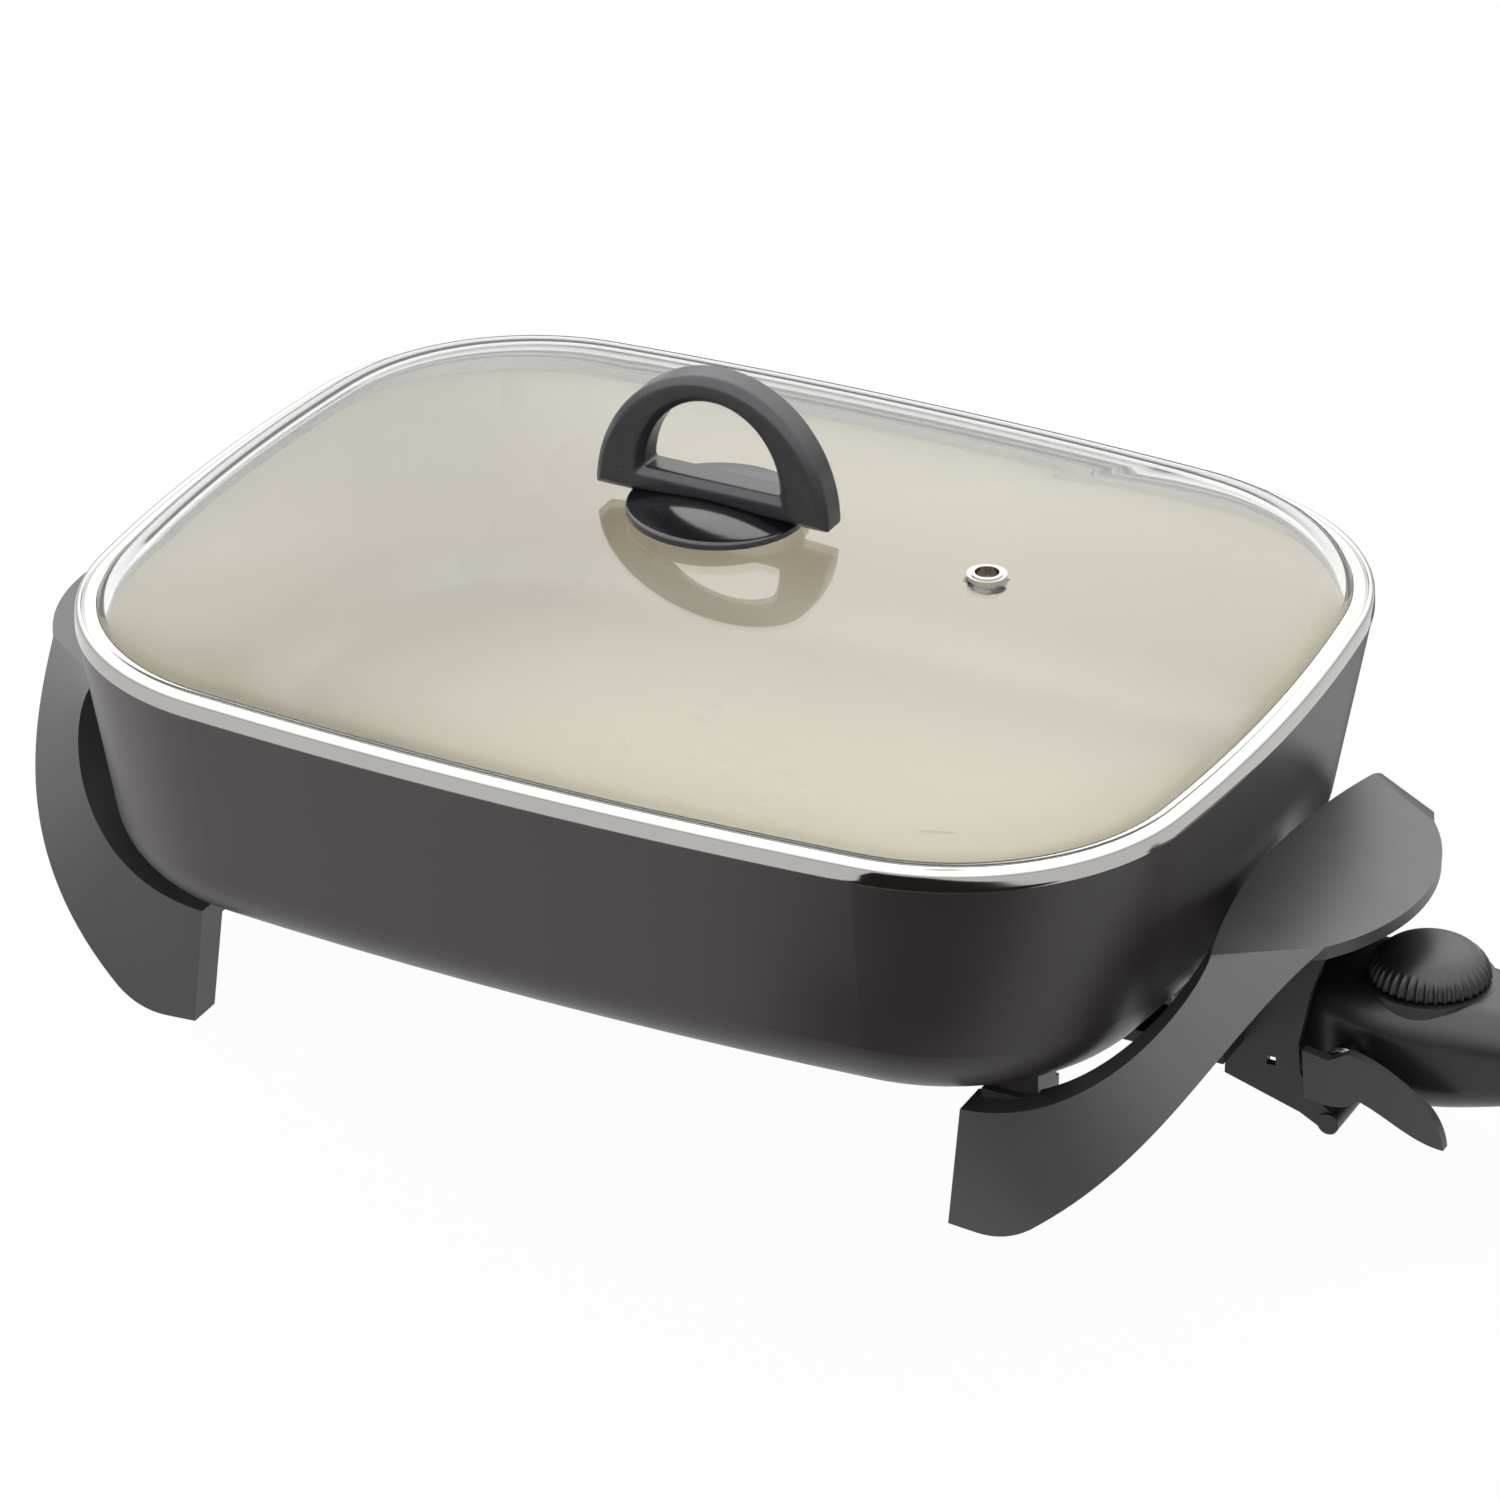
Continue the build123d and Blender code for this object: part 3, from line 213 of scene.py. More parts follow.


def rim_outline(offset, count):
    """Points round the lid's bowed outline, offset outwards, evenly spaced along it."""
    end_centre, side_centre = RIM_HALF_LENGTH - SHORT_SIDE_R, RIM_HALF_WIDTH - LONG_SIDE_R
    from_end, from_side = SHORT_SIDE_R - CORNER_R, LONG_SIDE_R - CORNER_R
    apart = math.hypot(end_centre, side_centre)
    along = (from_end ** 2 - from_side ** 2 + apart ** 2) / (2 * apart)
    across = math.sqrt(from_end ** 2 - along ** 2)
    dx, dy = -end_centre / apart, side_centre / apart
    corner = (end_centre + along * dx - across * dy, along * dy + across * dx)
    end_turn = math.atan2(corner[1], corner[0] - end_centre)
    side_turn = math.atan2(corner[1] - side_centre, corner[0])
    arcs = [((end_centre, 0.0), SHORT_SIDE_R, 0.0, end_turn),
            (corner, CORNER_R, end_turn, side_turn),
            ((0.0, side_centre), LONG_SIDE_R, side_turn, math.pi / 2)]
    arcs = [(middle, radius + offset, start, stop) for middle, radius, start, stop in arcs]
    lengths = [radius * (stop - start) for _, radius, start, stop in arcs]
    quarter = count // 4
    points = []
    for step in range(quarter):
        run = sum(lengths) * step / quarter
        for (middle, radius, start, stop), length in zip(arcs, lengths):
            if run <= length:
                turn = start + run / radius
                points.append((middle[0] + radius * math.cos(turn),
                               middle[1] + radius * math.sin(turn)))
                break
            run -= length
    top = (0.0, RIM_HALF_WIDTH + offset)
    first = points + [top]
    second = [(-x, y) for x, y in reversed(first[1:-1])]
    upper = first + second + [(-points[0][0], 0.0)]
    lower = [(x, -y) for x, y in reversed(upper[1:-1])]
    return upper + lower


def dome_height(share):
    """Height over the flange at a share of the outline's size."""
    crown = GLASS_TOP_Z - FLANGE_TOP_Z - DOME_SHOULDER
    return DOME_SHOULDER * math.sqrt(max(0.0, 1 - share ** DOME_SQUARENESS)) + crown * (1 - share ** 2)


def new_piece(name, vertices, faces):
    """A mesh object at the origin, shaded smooth, from points in millimetres about the pan's middle."""
    mesh = bpy.data.meshes.new(name)
    placed = [((x + PAN_MIDDLE_X) * MM, y * MM, z * MM) for x, y, z in vertices]
    mesh.from_pydata(placed, [], faces)
    mesh.update()
    piece = bpy.data.objects.new(name, mesh)
    bpy.context.scene.collection.objects.link(piece)
    for face in mesh.polygons:
        face.use_smooth = True
    return piece


def band(lower, upper, spokes):
    """The faces between two numbered rings of points."""
    return [(lower * spokes + i, lower * spokes + (i + 1) % spokes,
             upper * spokes + (i + 1) % spokes, upper * spokes + i) for i in range(spokes)]


def pressed_glass():
    """The glass as one closed shell: dome above, dome below, and the flange's edge."""
    shares = [math.sin(math.pi / 2 * (1 - i / GLASS_RINGS)) ** 0.5 for i in range(GLASS_RINGS)]
    flange = rim_outline(-RIM_SHEET, GLASS_SPOKES)
    outer = rim_outline(-RIM_INWARD, GLASS_SPOKES)
    inner = rim_outline(-RIM_INWARD - GLASS_THICK, GLASS_SPOKES)
    flange_under_z = FLANGE_TOP_Z - GLASS_THICK
    over = [[(x, y, flange_under_z) for x, y in flange], [(x, y, FLANGE_TOP_Z) for x, y in flange]]
    over += [[(x * s, y * s, FLANGE_TOP_Z + dome_height(s)) for x, y in outer] for s in shares]
    under = [[(x * s, y * s, flange_under_z + dome_height(s)) for x, y in inner] for s in shares]
    vertices, faces = [], []
    spokes = len(flange)
    for ring in over + under:
        vertices += ring
    top, count = len(over), len(over + under)
    for ring in range(top - 1):
        faces += band(ring, ring + 1, spokes)
    for ring in range(count - 1, top, -1):
        faces += band(ring, ring - 1, spokes)
    faces += band(top, 0, spokes)
    upper_pole, lower_pole = len(vertices), len(vertices) + 1
    vertices += [(0, 0, GLASS_TOP_Z), (0, 0, GLASS_TOP_Z - GLASS_THICK)]
    for i in range(spokes):
        j = (i + 1) % spokes
        faces.append(((top - 1) * spokes + i, (top - 1) * spokes + j, upper_pole))
        faces.append(((count - 1) * spokes + j, (count - 1) * spokes + i, lower_pole))
    return new_piece("lid_glass_pressing", vertices, faces)


def drill(piece, x, y, z, radius):
    """Cuts a round hole down through a piece. The height is that of the bit's middle."""
    bpy.ops.mesh.primitive_cylinder_add(
        vertices=DRILL_SIDES, radius=radius * MM, depth=DRILL_DEPTH * MM,
        location=((x + PAN_MIDDLE_X) * MM, y * MM, z * MM))
    bit = bpy.context.object
    cut = piece.modifiers.new("hole", "BOOLEAN")
    cut.operation, cut.solver, cut.object = "DIFFERENCE", "EXACT", bit
    shaped = bpy.data.meshes.new_from_object(piece.evaluated_get(bpy.context.evaluated_depsgraph_get()))
    piece.modifiers.remove(cut)
    piece.data = shaped
    bpy.data.objects.remove(bit)


tempered_glass, tree, out = new_material("tempered_soda_lime_glass")
ripple_place = add_node(tree, "ShaderNodeTexCoord").outputs["Object"]
ripple = add_node(tree, "ShaderNodeTexNoise", None,
                  {"Vector": ripple_place, "Scale": 1 / (RIPPLE_MM * MM), "Detail": 1.0})
waves = add_node(tree, "ShaderNodeBump", None,
                 {"Height": ripple.outputs["Fac"], "Strength": 0.05, "Distance": 0.05 * MM})
clear = add_node(tree, "ShaderNodeBsdfPrincipled", None,
                 {"Base Color": paint("#FAFCFA"), "Roughness": 0.0, "IOR": 1.5,
                  "Transmission Weight": 1.0, "Normal": waves.outputs["Normal"]})
see_through = add_node(tree, "ShaderNodeBsdfTransparent", None, {"Color": paint("#F4F6F3")})
ray = add_node(tree, "ShaderNodeLightPath")
# Painted shade: where the glass is seen aslant, a blue-grey glass is mixed in for the shaded floor behind it.
grazing = add_node(tree, "ShaderNodeLayerWeight", None, {"Blend": 0.5})
painted_shade_share = add_node(tree, "ShaderNodeMapRange", {"interpolation_type": "SMOOTHSTEP"},
                   {"Value": grazing.outputs["Facing"], "From Min": PAINTED_SHADE_STARTS, "From Max": PAINTED_SHADE_FULL,
                    "To Min": 0.0, "To Max": PAINTED_SHADE_AMOUNT})
painted_shade_glass = add_node(tree, "ShaderNodeBsdfPrincipled", None,
                          {"Base Color": paint("#5C626B"), "Roughness": 0.12, "IOR": 1.5})
with_painted_shade = add_node(tree, "ShaderNodeMixShader", None,
                      {0: painted_shade_share.outputs["Result"], 1: clear.outputs["BSDF"],
                       2: painted_shade_glass.outputs["BSDF"]})
lets_light_in = add_node(tree, "ShaderNodeMixShader", None,
                         {0: ray.outputs["Is Shadow Ray"], 1: with_painted_shade.outputs["Shader"],
                          2: see_through.outputs["BSDF"]})
tree.links.new(lets_light_in.outputs["Shader"], out.inputs["Surface"])

glass = pressed_glass()
drill(glass, HANDLE_X, 0.0, HANDLE_HOLE_Z, HANDLE_HOLE_R)
drill(glass, VENT_X, VENT_Y, VENT_HOLE_Z, VENT_HOLE_R)
glass.data.materials.clear()
glass.data.materials.append(tempered_glass)
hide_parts("lid_glass")
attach(glass, "lid")


# ---------------------------------------------------------------- steel rim and steam vent
# The rim is stainless strip, rolled to a channel round the glass flange, then polished. It has
# an upright outer face, and on top a bead, a fine groove and a shallow hollow. The vent is a
# turned grommet, spun over the glass on both sides.

RIM_SPOKES = 480
RIM_ROUND_ANGLE = 0.55  # a bend over this, in radians, stays a crisp corner
RIM_SECTION = [  # inwards from the outline, and height
    (7.3, 138.3), (1.6, 138.3), (1.0, 137.7), (1.0, 134.3), (7.3, 134.3), (7.3, 129.0), (6.3, 129.0),
    (6.3, 132.6), (0.3, 132.6), (0.06, 132.75), (0.0, 133.1), (0.02, 134.0), (0.1, 136.0), (0.2, 137.5),
    (0.38, 138.15), (0.75, 138.75), (1.2, 139.08), (1.7, 139.25), (2.1, 139.2), (2.35, 138.98), (2.6, 138.74),
    (2.9, 138.84), (3.2, 139.08), (3.8, 139.28), (4.6, 139.14), (5.4, 139.02), (6.2, 139.12), (6.8, 139.29),
    (7.15, 139.2)]


def sized_tree(name, sizes):
    """An empty Geometry Nodes tree with its named inputs, and those inputs by name."""
    tree = bpy.data.node_groups.new(name, "GeometryNodeTree")
    tree.interface.new_socket("Geometry", in_out="INPUT", socket_type="NodeSocketGeometry")
    for label, kind in sizes.items():
        tree.interface.new_socket(label, in_out="INPUT", socket_type="NodeSocket" + kind)
    tree.interface.new_socket("Geometry", in_out="OUTPUT", socket_type="NodeSocketGeometry")
    return tree, add_node(tree, "NodeGroupInput").outputs


def finish_tree(tree, geometry, given):
    """Shades rounds smooth and corners crisp, makes instances mesh, and gives them the material."""
    smooth = add_node(tree, "GeometryNodeSetShadeSmooth", {"domain": "FACE"}, {0: geometry})
    bend = add_node(tree, "GeometryNodeInputMeshEdgeAngle")
    corner = add_node(tree, "ShaderNodeMath", {"operation": "GREATER_THAN"},
                      {0: bend.outputs[0], 1: given["Corner Angle"]})
    crisp = add_node(tree, "GeometryNodeSetShadeSmooth", {"domain": "EDGE"},
                     {0: smooth.outputs[0], 1: corner.outputs[0], 2: False})
    real = add_node(tree, "GeometryNodeRealizeInstances", None, {0: crisp.outputs[0]})
    painted = add_node(tree, "GeometryNodeSetMaterial", None,
                       {"Geometry": real.outputs[0], "Material": given["Material"]})
    add_node(tree, "NodeGroupOutput", None, {0: painted.outputs[0]})


def grown(name, seed_piece, tree, values):
    """Runs a tree on a piece and keeps the result as a plain mesh under a new name."""
    grow = seed_piece.modifiers.new("grow", "NODES")
    grow.node_group = tree
    for socket in tree.interface.items_tree:
        if socket.in_out == "INPUT" and socket.name in values:
            grow[socket.identifier] = values[socket.name]
    mesh = bpy.data.meshes.new_from_object(seed_piece.evaluated_get(bpy.context.evaluated_depsgraph_get()))
    seed_piece.modifiers.remove(grow)
    piece = bpy.data.objects.new(name, mesh)
    bpy.context.scene.collection.objects.link(piece)
    bpy.data.objects.remove(seed_piece)
    return piece


def wire(name, points, closed):
    """Points joined by edges, as a path or a section for a tree; metres, where they stand."""
    mesh = bpy.data.meshes.new(name)
    last = len(points) if closed else len(points) - 1
    mesh.from_pydata(points, [(i, (i + 1) % len(points)) for i in range(last)], [])
    line = bpy.data.objects.new(name, mesh)
    bpy.context.scene.collection.objects.link(line)
    return line


def rolled_strip():
    """A tree that sweeps a section along a closed path. The section is drawn inwards and up."""
    tree, given = sized_tree("rolled_strip", {"Section": "Object", "Corner Angle": "Float",
                                              "Material": "Material"})
    path = add_node(tree, "GeometryNodeMeshToCurve", None, {"Mesh": given["Geometry"]})
    level = add_node(tree, "GeometryNodeSetCurveNormal", {"mode": "Z_UP"}, {"Curve": path.outputs[0]})
    drawn = add_node(tree, "GeometryNodeObjectInfo", None, {"Object": given["Section"]})
    section = add_node(tree, "GeometryNodeMeshToCurve", None, {"Mesh": drawn.outputs["Geometry"]})
    swept = add_node(tree, "GeometryNodeCurveToMesh", None,
                     {"Curve": level.outputs[0], "Profile Curve": section.outputs[0]})
    finish_tree(tree, swept.outputs[0], given)
    return tree


polished_steel = grained("polished_stainless", "#B0AEAB", "#B8B6B3", 50.0, 1.2, 0.008, 0.07, 0.12,
                         Metallic=1.0)
rim_path = wire("rim_path", [((x + PAN_MIDDLE_X) * MM, y * MM, 0.0)
                             for x, y in rim_outline(0.0, RIM_SPOKES)], True)
# A section is drawn with both of its directions turned round, which puts the faces outwards.
rim_section = wire("rim_section", [(-inward * MM, -height * MM, 0.0)
                                   for inward, height in reversed(RIM_SECTION)], True)
rim = grown("rolled_steel_rim", rim_path, rolled_strip(),
            {"Section": rim_section, "Corner Angle": RIM_ROUND_ANGLE, "Material": polished_steel})
bpy.data.objects.remove(rim_section)
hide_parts("lid_rim")
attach(rim, "lid")
finish_node("steam_vent", polished_steel)


# ---------------------------------------------------------------- lid handle
# The loop and its round base are moulded phenolic. The base keeps the polished mould's gloss,
# and the loop is tumbled to take its flash off, which leaves it softer.
# One screw comes up through a washer and a silicone gasket.

gloss_phenolic = grained("polished_black_phenolic", "#1E1E22", "#242429", 25.0, 2.5, 0.01, 0.10, 0.15,
                         Coat_Weight=0.2, Coat_Roughness=0.05)
loop_phenolic = grained("tumbled_black_phenolic", "#26272C", "#2B2C32", 25.0, 0.8, 0.006, 0.24, 0.28)
silicone = grained("black_silicone", "#1D1D1D", "#262626", 6.0, 0.5, 0.03, 0.6, 0.75)
HANDLE_VOXEL, HANDLE_ROUNDING, HANDLE_EASE = 0.45, 16, 0.5  # cell in mm, passes, and share a pass
SAME_POINT_MM = 0.001


def softened(name, node, voxel_mm, passes, material):
    """A copy of a CAD node with its hard edges rounded, as a mould's edges are."""
    mesh = nodes[node].data.copy()
    mesh.materials.clear()
    mesh.materials.append(material)
    shell = bmesh.new()
    shell.from_mesh(mesh)
    bmesh.ops.remove_doubles(shell, verts=shell.verts, dist=SAME_POINT_MM * MM)
    shell.to_mesh(mesh)
    shell.free()
    piece = bpy.data.objects.new(name, mesh)
    bpy.context.scene.collection.objects.link(piece)
    even = piece.modifiers.new("even", "REMESH")
    even.mode, even.voxel_size, even.use_smooth_shade = "VOXEL", voxel_mm * MM, True
    worn = piece.modifiers.new("worn", "SMOOTH")
    worn.factor, worn.iterations = HANDLE_EASE, passes
    shaped = bpy.data.meshes.new_from_object(piece.evaluated_get(bpy.context.evaluated_depsgraph_get()))
    piece.modifiers.clear()
    piece.data = shaped
    return piece


for name, node, finish in (("moulded_loop", "lid_handle", loop_phenolic),
                           ("moulded_base", "handle_base", gloss_phenolic)):
    part = softened(name, node, HANDLE_VOXEL, HANDLE_ROUNDING, finish)
    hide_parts(node)
    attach(part, "lid")
for node in ("handle_screw", "handle_washer"):
    finish_node(node, nickel)
finish_node("handle_gasket", silicone)


# ---------------------------------------------------------------- controller
# Two injection-moulded nylon halves are screwed together round the thermostat. The dial is
# the same nylon, ribbed for grip, and the release lever is a plain grey moulding.

black_nylon = grained("moulded_black_nylon", "#211E1F", "#292526", 25.0, 0.5, 0.04, 0.30, 0.40)
dial_nylon = grained("moulded_dial_nylon", "#282727", "#302F2F", 20.0, 0.5, 0.04, 0.36, 0.44)
grey_nylon = grained("moulded_grey_nylon", "#4E4E4F", "#585859", 20.0, 0.5, 0.05, 0.42, 0.52)
brass = grained("turned_brass", "#B48E4A", "#C9A45E", 4.0, 0.4, 0.02, 0.25, 0.38, Metallic=1.0)
amber = grained("moulded_amber_lens", "#C4641A", "#D27426", 3.0, 0.6, 0.01, 0.10, 0.18, Coat_Weight=0.5)
lamp_glass = grained("neon_lamp_glass", "#D8CFC4", "#E4DCD2", 3.0, 0.8, 0.01, 0.05, 0.10,
                     Transmission_Weight=0.8)
silver = grained("silver_contact_face", "#D0CFCB", "#DEDDD9", 1.0, 0.2, 0.01, 0.2, 0.3, Metallic=1.0)
bimetal = grained("rolled_bimetal", "#9A968E", "#A8A49C", 2.0, 0.3, 0.01, 0.25, 0.35, Metallic=1.0)
for node in ("controller_upper_housing", "controller_lower_housing", "cord_gland"):
    finish_node(node, black_nylon)
finish_node("release_lever", grey_nylon)
for node in ("terminal_sockets", "contact_blade", "dial_shaft"):
    finish_node(node, brass)
for node in ("probe_rod", "thermostat_frame", "housing_screws", "lever_pin", "lever_spring"):
    finish_node(node, nickel)
finish_node("blade_insulators", steatite)

DIAL_X, DIAL_BOTTOM_Z, DIAL_R, DIAL_HEIGHT = 249.0, 59.2, 20.0, 11.0
DIAL_RIBS, RIB_STANDS_OUT, RIB_SHARPNESS = 40, 1.1, 2.0
DIAL_AROUND, DIAL_RINGS = 481, 73
DIAL_ROUND_ANGLE, DIAL_SEAM_MM = 1.2, 0.002
# Each curve runs from the middle of the underside, out, up the skirt and over the dome.
DIAL_REACH = [(0.0, 0.0), (0.10, 0.93), (0.14, 0.98), (0.30, 0.945), (0.45, 0.86), (0.60, 0.73),
              (0.75, 0.54), (0.90, 0.24), (1.0, 0.0)]
DIAL_RISE = [(0.0, 0.0), (0.10, 0.0), (0.14, 0.03), (0.30, 0.36), (0.45, 0.62), (0.60, 0.81),
             (0.75, 0.93), (0.90, 0.99), (1.0, 1.0)]
DIAL_RIB_SHARE = [(0.0, 0.0), (0.10, 0.0), (0.13, 1.0), (0.30, 0.9), (0.42, 0.35), (0.50, 0.0), (1.0, 0.0)]


def drawn_curve(node, points, straight):
    """Sets a curve node's line through points."""
    line = node.mapping.curves[0]
    line.points[0].location, line.points[-1].location = points[0], points[-1]
    for point in points[1:-1]:
        line.points.new(*point)
    for point in line.points:
        point.handle_type = "VECTOR" if straight else "AUTO"
    node.mapping.update()
    return node.outputs[0]


def ribbed_dial():
    """A tree that rolls a flat grid into a dial: one way goes round, the other follows the section."""
    tree, given = sized_tree("ribbed_dial", {
        "Radius": "Float", "Height": "Float", "Ribs": "Float", "Rib Height": "Float", "Around": "Int",
        "Rings": "Int", "Middle": "Vector", "Corner Angle": "Float", "Material": "Material"})
    grid = add_node(tree, "GeometryNodeMeshGrid", None,
                    {"Size X": 1.0, "Size Y": 1.0, "Vertices X": given["Around"],
                     "Vertices Y": given["Rings"]})
    spot = add_node(tree, "ShaderNodeSeparateXYZ", None,
                    {0: add_node(tree, "GeometryNodeInputPosition").outputs[0]})

    def work(operation, first, second=0.0):
        return add_node(tree, "ShaderNodeMath", {"operation": operation}, {0: first, 1: second}).outputs[0]

    turn = work("MULTIPLY", spot.outputs["X"], 2 * math.pi)
    along = work("ADD", spot.outputs["Y"], 0.5)
    reach = drawn_curve(add_node(tree, "ShaderNodeFloatCurve", None, {"Value": along}), DIAL_REACH, False)
    rise = drawn_curve(add_node(tree, "ShaderNodeFloatCurve", None, {"Value": along}), DIAL_RISE, False)
    ribbed = drawn_curve(add_node(tree, "ShaderNodeFloatCurve", None, {"Value": along}), DIAL_RIB_SHARE, True)
    wave = work("COSINE", work("MULTIPLY", turn, given["Ribs"]))
    ridge = work("POWER", work("MULTIPLY", work("ADD", wave, 1.0), 0.5), RIB_SHARPNESS)
    proud = work("MULTIPLY", work("MULTIPLY", ridge, ribbed), given["Rib Height"])
    plain_r = work("MULTIPLY", reach, work("SUBTRACT", given["Radius"], given["Rib Height"]))
    radius = work("ADD", plain_r, proud)
    rolled = add_node(tree, "ShaderNodeCombineXYZ", None,
                      {0: work("MULTIPLY", radius, work("COSINE", turn)),
                       1: work("MULTIPLY", radius, work("SINE", turn)),
                       2: work("MULTIPLY", rise, given["Height"])})
    placed = add_node(tree, "ShaderNodeVectorMath", {"operation": "ADD"},
                      {0: rolled.outputs[0], 1: given["Middle"]})
    shaped = add_node(tree, "GeometryNodeSetPosition", None,
                      {"Geometry": grid.outputs["Mesh"], "Position": placed.outputs[0]})
    closed = add_node(tree, "GeometryNodeMergeByDistance", None,
                      {"Geometry": shaped.outputs[0], "Distance": DIAL_SEAM_MM * MM})
    finish_tree(tree, closed.outputs[0], given)
    return tree


dial = grown("ribbed_dial", wire("dial_seed", [(0.0, 0.0, 0.0)], False), ribbed_dial(),
             {"Radius": DIAL_R * MM, "Height": DIAL_HEIGHT * MM, "Ribs": float(DIAL_RIBS),
              "Rib Height": RIB_STANDS_OUT * MM, "Around": DIAL_AROUND, "Rings": DIAL_RINGS,
              "Middle": ((DIAL_X + PAN_MIDDLE_X) * MM, 0.0, DIAL_BOTTOM_Z * MM),
              "Corner Angle": DIAL_ROUND_ANGLE, "Material": dial_nylon})
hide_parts("dial_knob")
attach(dial, "dial")
finish_node("indicator_lens", amber)
finish_node("neon_lamp", lamp_glass)
finish_node("contact_points", silver)
finish_node("bimetal_strip", bimetal)


# ---------------------------------------------------------------- studio
# A white sweep with two soft boxes for the light. Rays from the camera, from gloss and through
# glass see the sweep at full white. A glowing cloth tent is there for reflections alone, and two
# dim cards lying on the sweep paint darker reflections of it, behind the pan and in front to the right.

ROOM_LIGHT = 0.20
FLOOR_REACH, FLOOR_WHITE_SHARE = 4000.0, 0.97
TENT_RADIUS, TENT_RINGS, TENT_SIDES = 2600.0, 24, 48
# Height over the floor as a share of the radius, and the tent's brightness there.
TENT_GLOW = [(0.0, 0.5), (0.14, 0.9), (0.24, 1.25), (0.48, 2.3), (0.68, 2.9), (1.0, 3.1)]
CARD_Z = 1.0


def soft_box(name, place, aim, width, height, watts):
    """A rectangular lamp that faces a point."""
    lamp = bpy.data.lights.new(name, "AREA")
    lamp.shape, lamp.size, lamp.size_y, lamp.energy = "RECTANGLE", width, height, watts
    holder = bpy.data.objects.new(name, lamp)
    holder.location = place
    way = [a - p for a, p in zip(aim, place)]
    holder.rotation_euler = Vector(way).to_track_quat("-Z", "Y").to_euler()
    holder.visible_camera = holder.visible_glossy = holder.visible_transmission = False
    bpy.context.scene.collection.objects.link(holder)


def seen_directly(tree):
    """One for a ray from the camera, from gloss or through glass, and nought for any other."""
    ray = add_node(tree, "ShaderNodeLightPath")
    through = add_node(tree, "ShaderNodeMath", {"operation": "MAXIMUM"},
                       {0: ray.outputs["Is Camera Ray"], 1: ray.outputs["Is Transmission Ray"]})
    seen = add_node(tree, "ShaderNodeMath", {"operation": "MAXIMUM"},
                    {0: through.outputs[0], 1: ray.outputs["Is Glossy Ray"]})
    return seen.outputs[0]


world = bpy.data.worlds.new("studio")
bpy.context.scene.world = world
world.use_nodes = True
tree = world.node_tree
tree.nodes.clear()
world_out = add_node(tree, "ShaderNodeOutputWorld")
plain = add_node(tree, "ShaderNodeBackground", None, {"Color": paint("#FFFFFF"), "Strength": ROOM_LIGHT})
white = add_node(tree, "ShaderNodeBackground", None, {"Color": paint("#FFFFFF"), "Strength": 1.0})
either = add_node(tree, "ShaderNodeMixShader", None,
                  {0: seen_directly(tree), 1: plain.outputs[0], 2: white.outputs[0]})
tree.links.new(either.outputs[0], world_out.inputs["Surface"])

floor = new_piece("floor", [(-FLOOR_REACH, -FLOOR_REACH, 0), (FLOOR_REACH, -FLOOR_REACH, 0),
                            (FLOOR_REACH, FLOOR_REACH, 0), (-FLOOR_REACH, FLOOR_REACH, 0)], [(0, 1, 2, 3)])
floor_paint, tree, out = new_material("white_sweep")
matt = add_node(tree, "ShaderNodeBsdfDiffuse", None, {"Color": paint("#F4F4F4")})
glow = add_node(tree, "ShaderNodeEmission", None, {"Color": paint("#FFFFFF"), "Strength": 1.0})
share = add_node(tree, "ShaderNodeMath", {"operation": "MULTIPLY"},
                 {0: seen_directly(tree), 1: FLOOR_WHITE_SHARE})
sweep = add_node(tree, "ShaderNodeMixShader", None,
                 {0: share.outputs[0], 1: matt.outputs[0], 2: glow.outputs[0]})
tree.links.new(sweep.outputs[0], out.inputs["Surface"])
floor.data.materials.append(floor_paint)

soft_box("back_box", (-0.73, 1.33, 0.95), (-0.05, 0.0, 0.13), 3.4, 2.8, 70.0)
soft_box("left_box", (-1.05, -0.9, 0.65), (-0.1, 0.0, 0.1), 0.9, 0.9, 10.0)


def glow_material(name, hex_colour, strength):
    """A plain glowing surface."""
    material, tree, out = new_material(name)
    shine = add_node(tree, "ShaderNodeEmission", None, {"Color": paint(hex_colour), "Strength": strength})
    tree.links.new(shine.outputs[0], out.inputs["Surface"])
    return material, tree, shine


def seen_in_gloss_only(thing):
    """Studio cloth and cards show in reflections, and leave the light and the view alone."""
    thing.visible_camera = thing.visible_diffuse = thing.visible_shadow = thing.visible_transmission = False


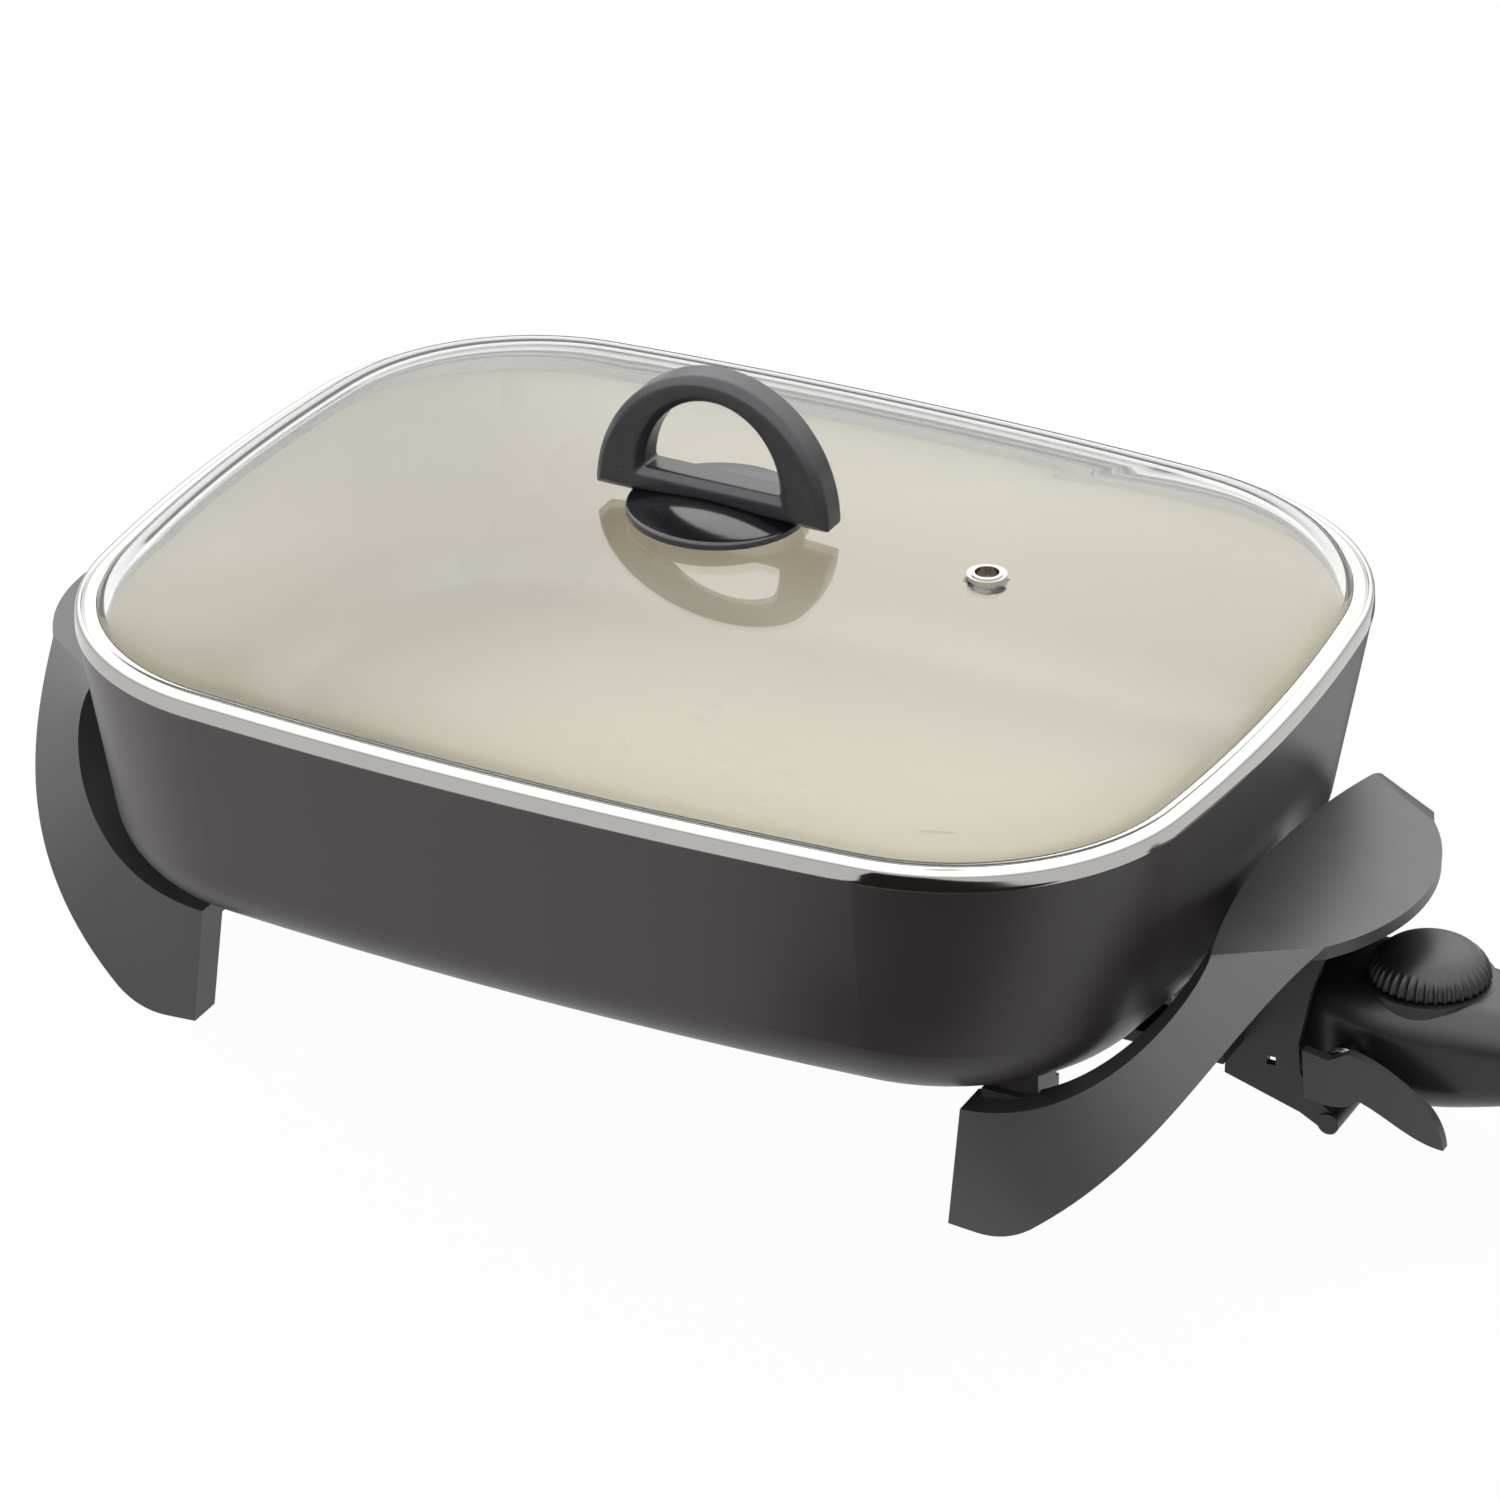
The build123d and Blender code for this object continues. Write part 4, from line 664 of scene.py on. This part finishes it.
tent_levels = [math.pi / 2 * ring / TENT_RINGS for ring in range(TENT_RINGS)]
tent_turns = [2 * math.pi * side / TENT_SIDES for side in range(TENT_SIDES)]
tent_points = [(TENT_RADIUS * math.cos(level) * math.cos(turn) - PAN_MIDDLE_X,
                TENT_RADIUS * math.cos(level) * math.sin(turn), TENT_RADIUS * math.sin(level))
               for level in tent_levels for turn in tent_turns]
tent = new_piece("light_tent", tent_points,
                 [face for ring in range(TENT_RINGS - 1) for face in band(ring, ring + 1, TENT_SIDES)])
tent_cloth, tree, shine = glow_material("tent_cloth", "#FFFFFF", 1.0)
up = add_node(tree, "ShaderNodeSeparateXYZ", None,
              {0: add_node(tree, "ShaderNodeTexCoord").outputs["Object"]})
share = add_node(tree, "ShaderNodeMath", {"operation": "DIVIDE"}, {0: up.outputs["Z"], 1: TENT_RADIUS * MM})
glow = add_node(tree, "ShaderNodeFloatCurve", None, {"Value": share.outputs[0]})
brightest = TENT_GLOW[-1][1]
drawn_curve(glow, [(height, strength / brightest) for height, strength in TENT_GLOW], True)
lit = add_node(tree, "ShaderNodeMath", {"operation": "MULTIPLY"}, {0: glow.outputs[0], 1: brightest})
tree.links.new(lit.outputs[0], shine.inputs["Strength"])
tent.data.materials.append(tent_cloth)
seen_in_gloss_only(tent)

# Two dim cards on the sweep, seen in gloss only: painted dark reflections of the floor behind the pan and in
# front to its right.
for name, tone, strength, left, right, near, far in (
        ("back_card", "#DDE4F2", 0.22, -480.0, 190.0, 175.0, 900.0),
        ("front_card", "#F2E2E0", 0.03, 60.0, 385.0, -1000.0, -175.0)):
    card = new_piece(name, [(left, near, CARD_Z), (right, near, CARD_Z), (right, far, CARD_Z),
                            (left, far, CARD_Z)], [(0, 1, 2, 3)])
    card.data.materials.append(glow_material(name, tone, strength)[0])
    seen_in_gloss_only(card)


# ---------------------------------------------------------------- camera
# A long lens looks down on the near right corner.

LENS_MM, SENSOR_MM = 166.35, 36.0
CAMERA_PLACE = (0.86205, -1.7817, 1.1634)
CAMERA_BACK = (0.39734, -0.78422, 0.47655)  # from what it looks at, back to the camera
NEAREST, FARTHEST = 0.05, 50.0

camera = bpy.data.objects.new("camera", bpy.data.cameras.new("camera"))
camera.data.lens, camera.data.sensor_width = LENS_MM, SENSOR_MM
camera.data.clip_start, camera.data.clip_end = NEAREST, FARTHEST
camera.location = CAMERA_PLACE
camera.rotation_euler = Vector(CAMERA_BACK).to_track_quat("Z", "Y").to_euler()
bpy.context.scene.collection.objects.link(camera)
bpy.context.scene.camera = camera
bpy.context.scene.view_settings.view_transform = "Standard"
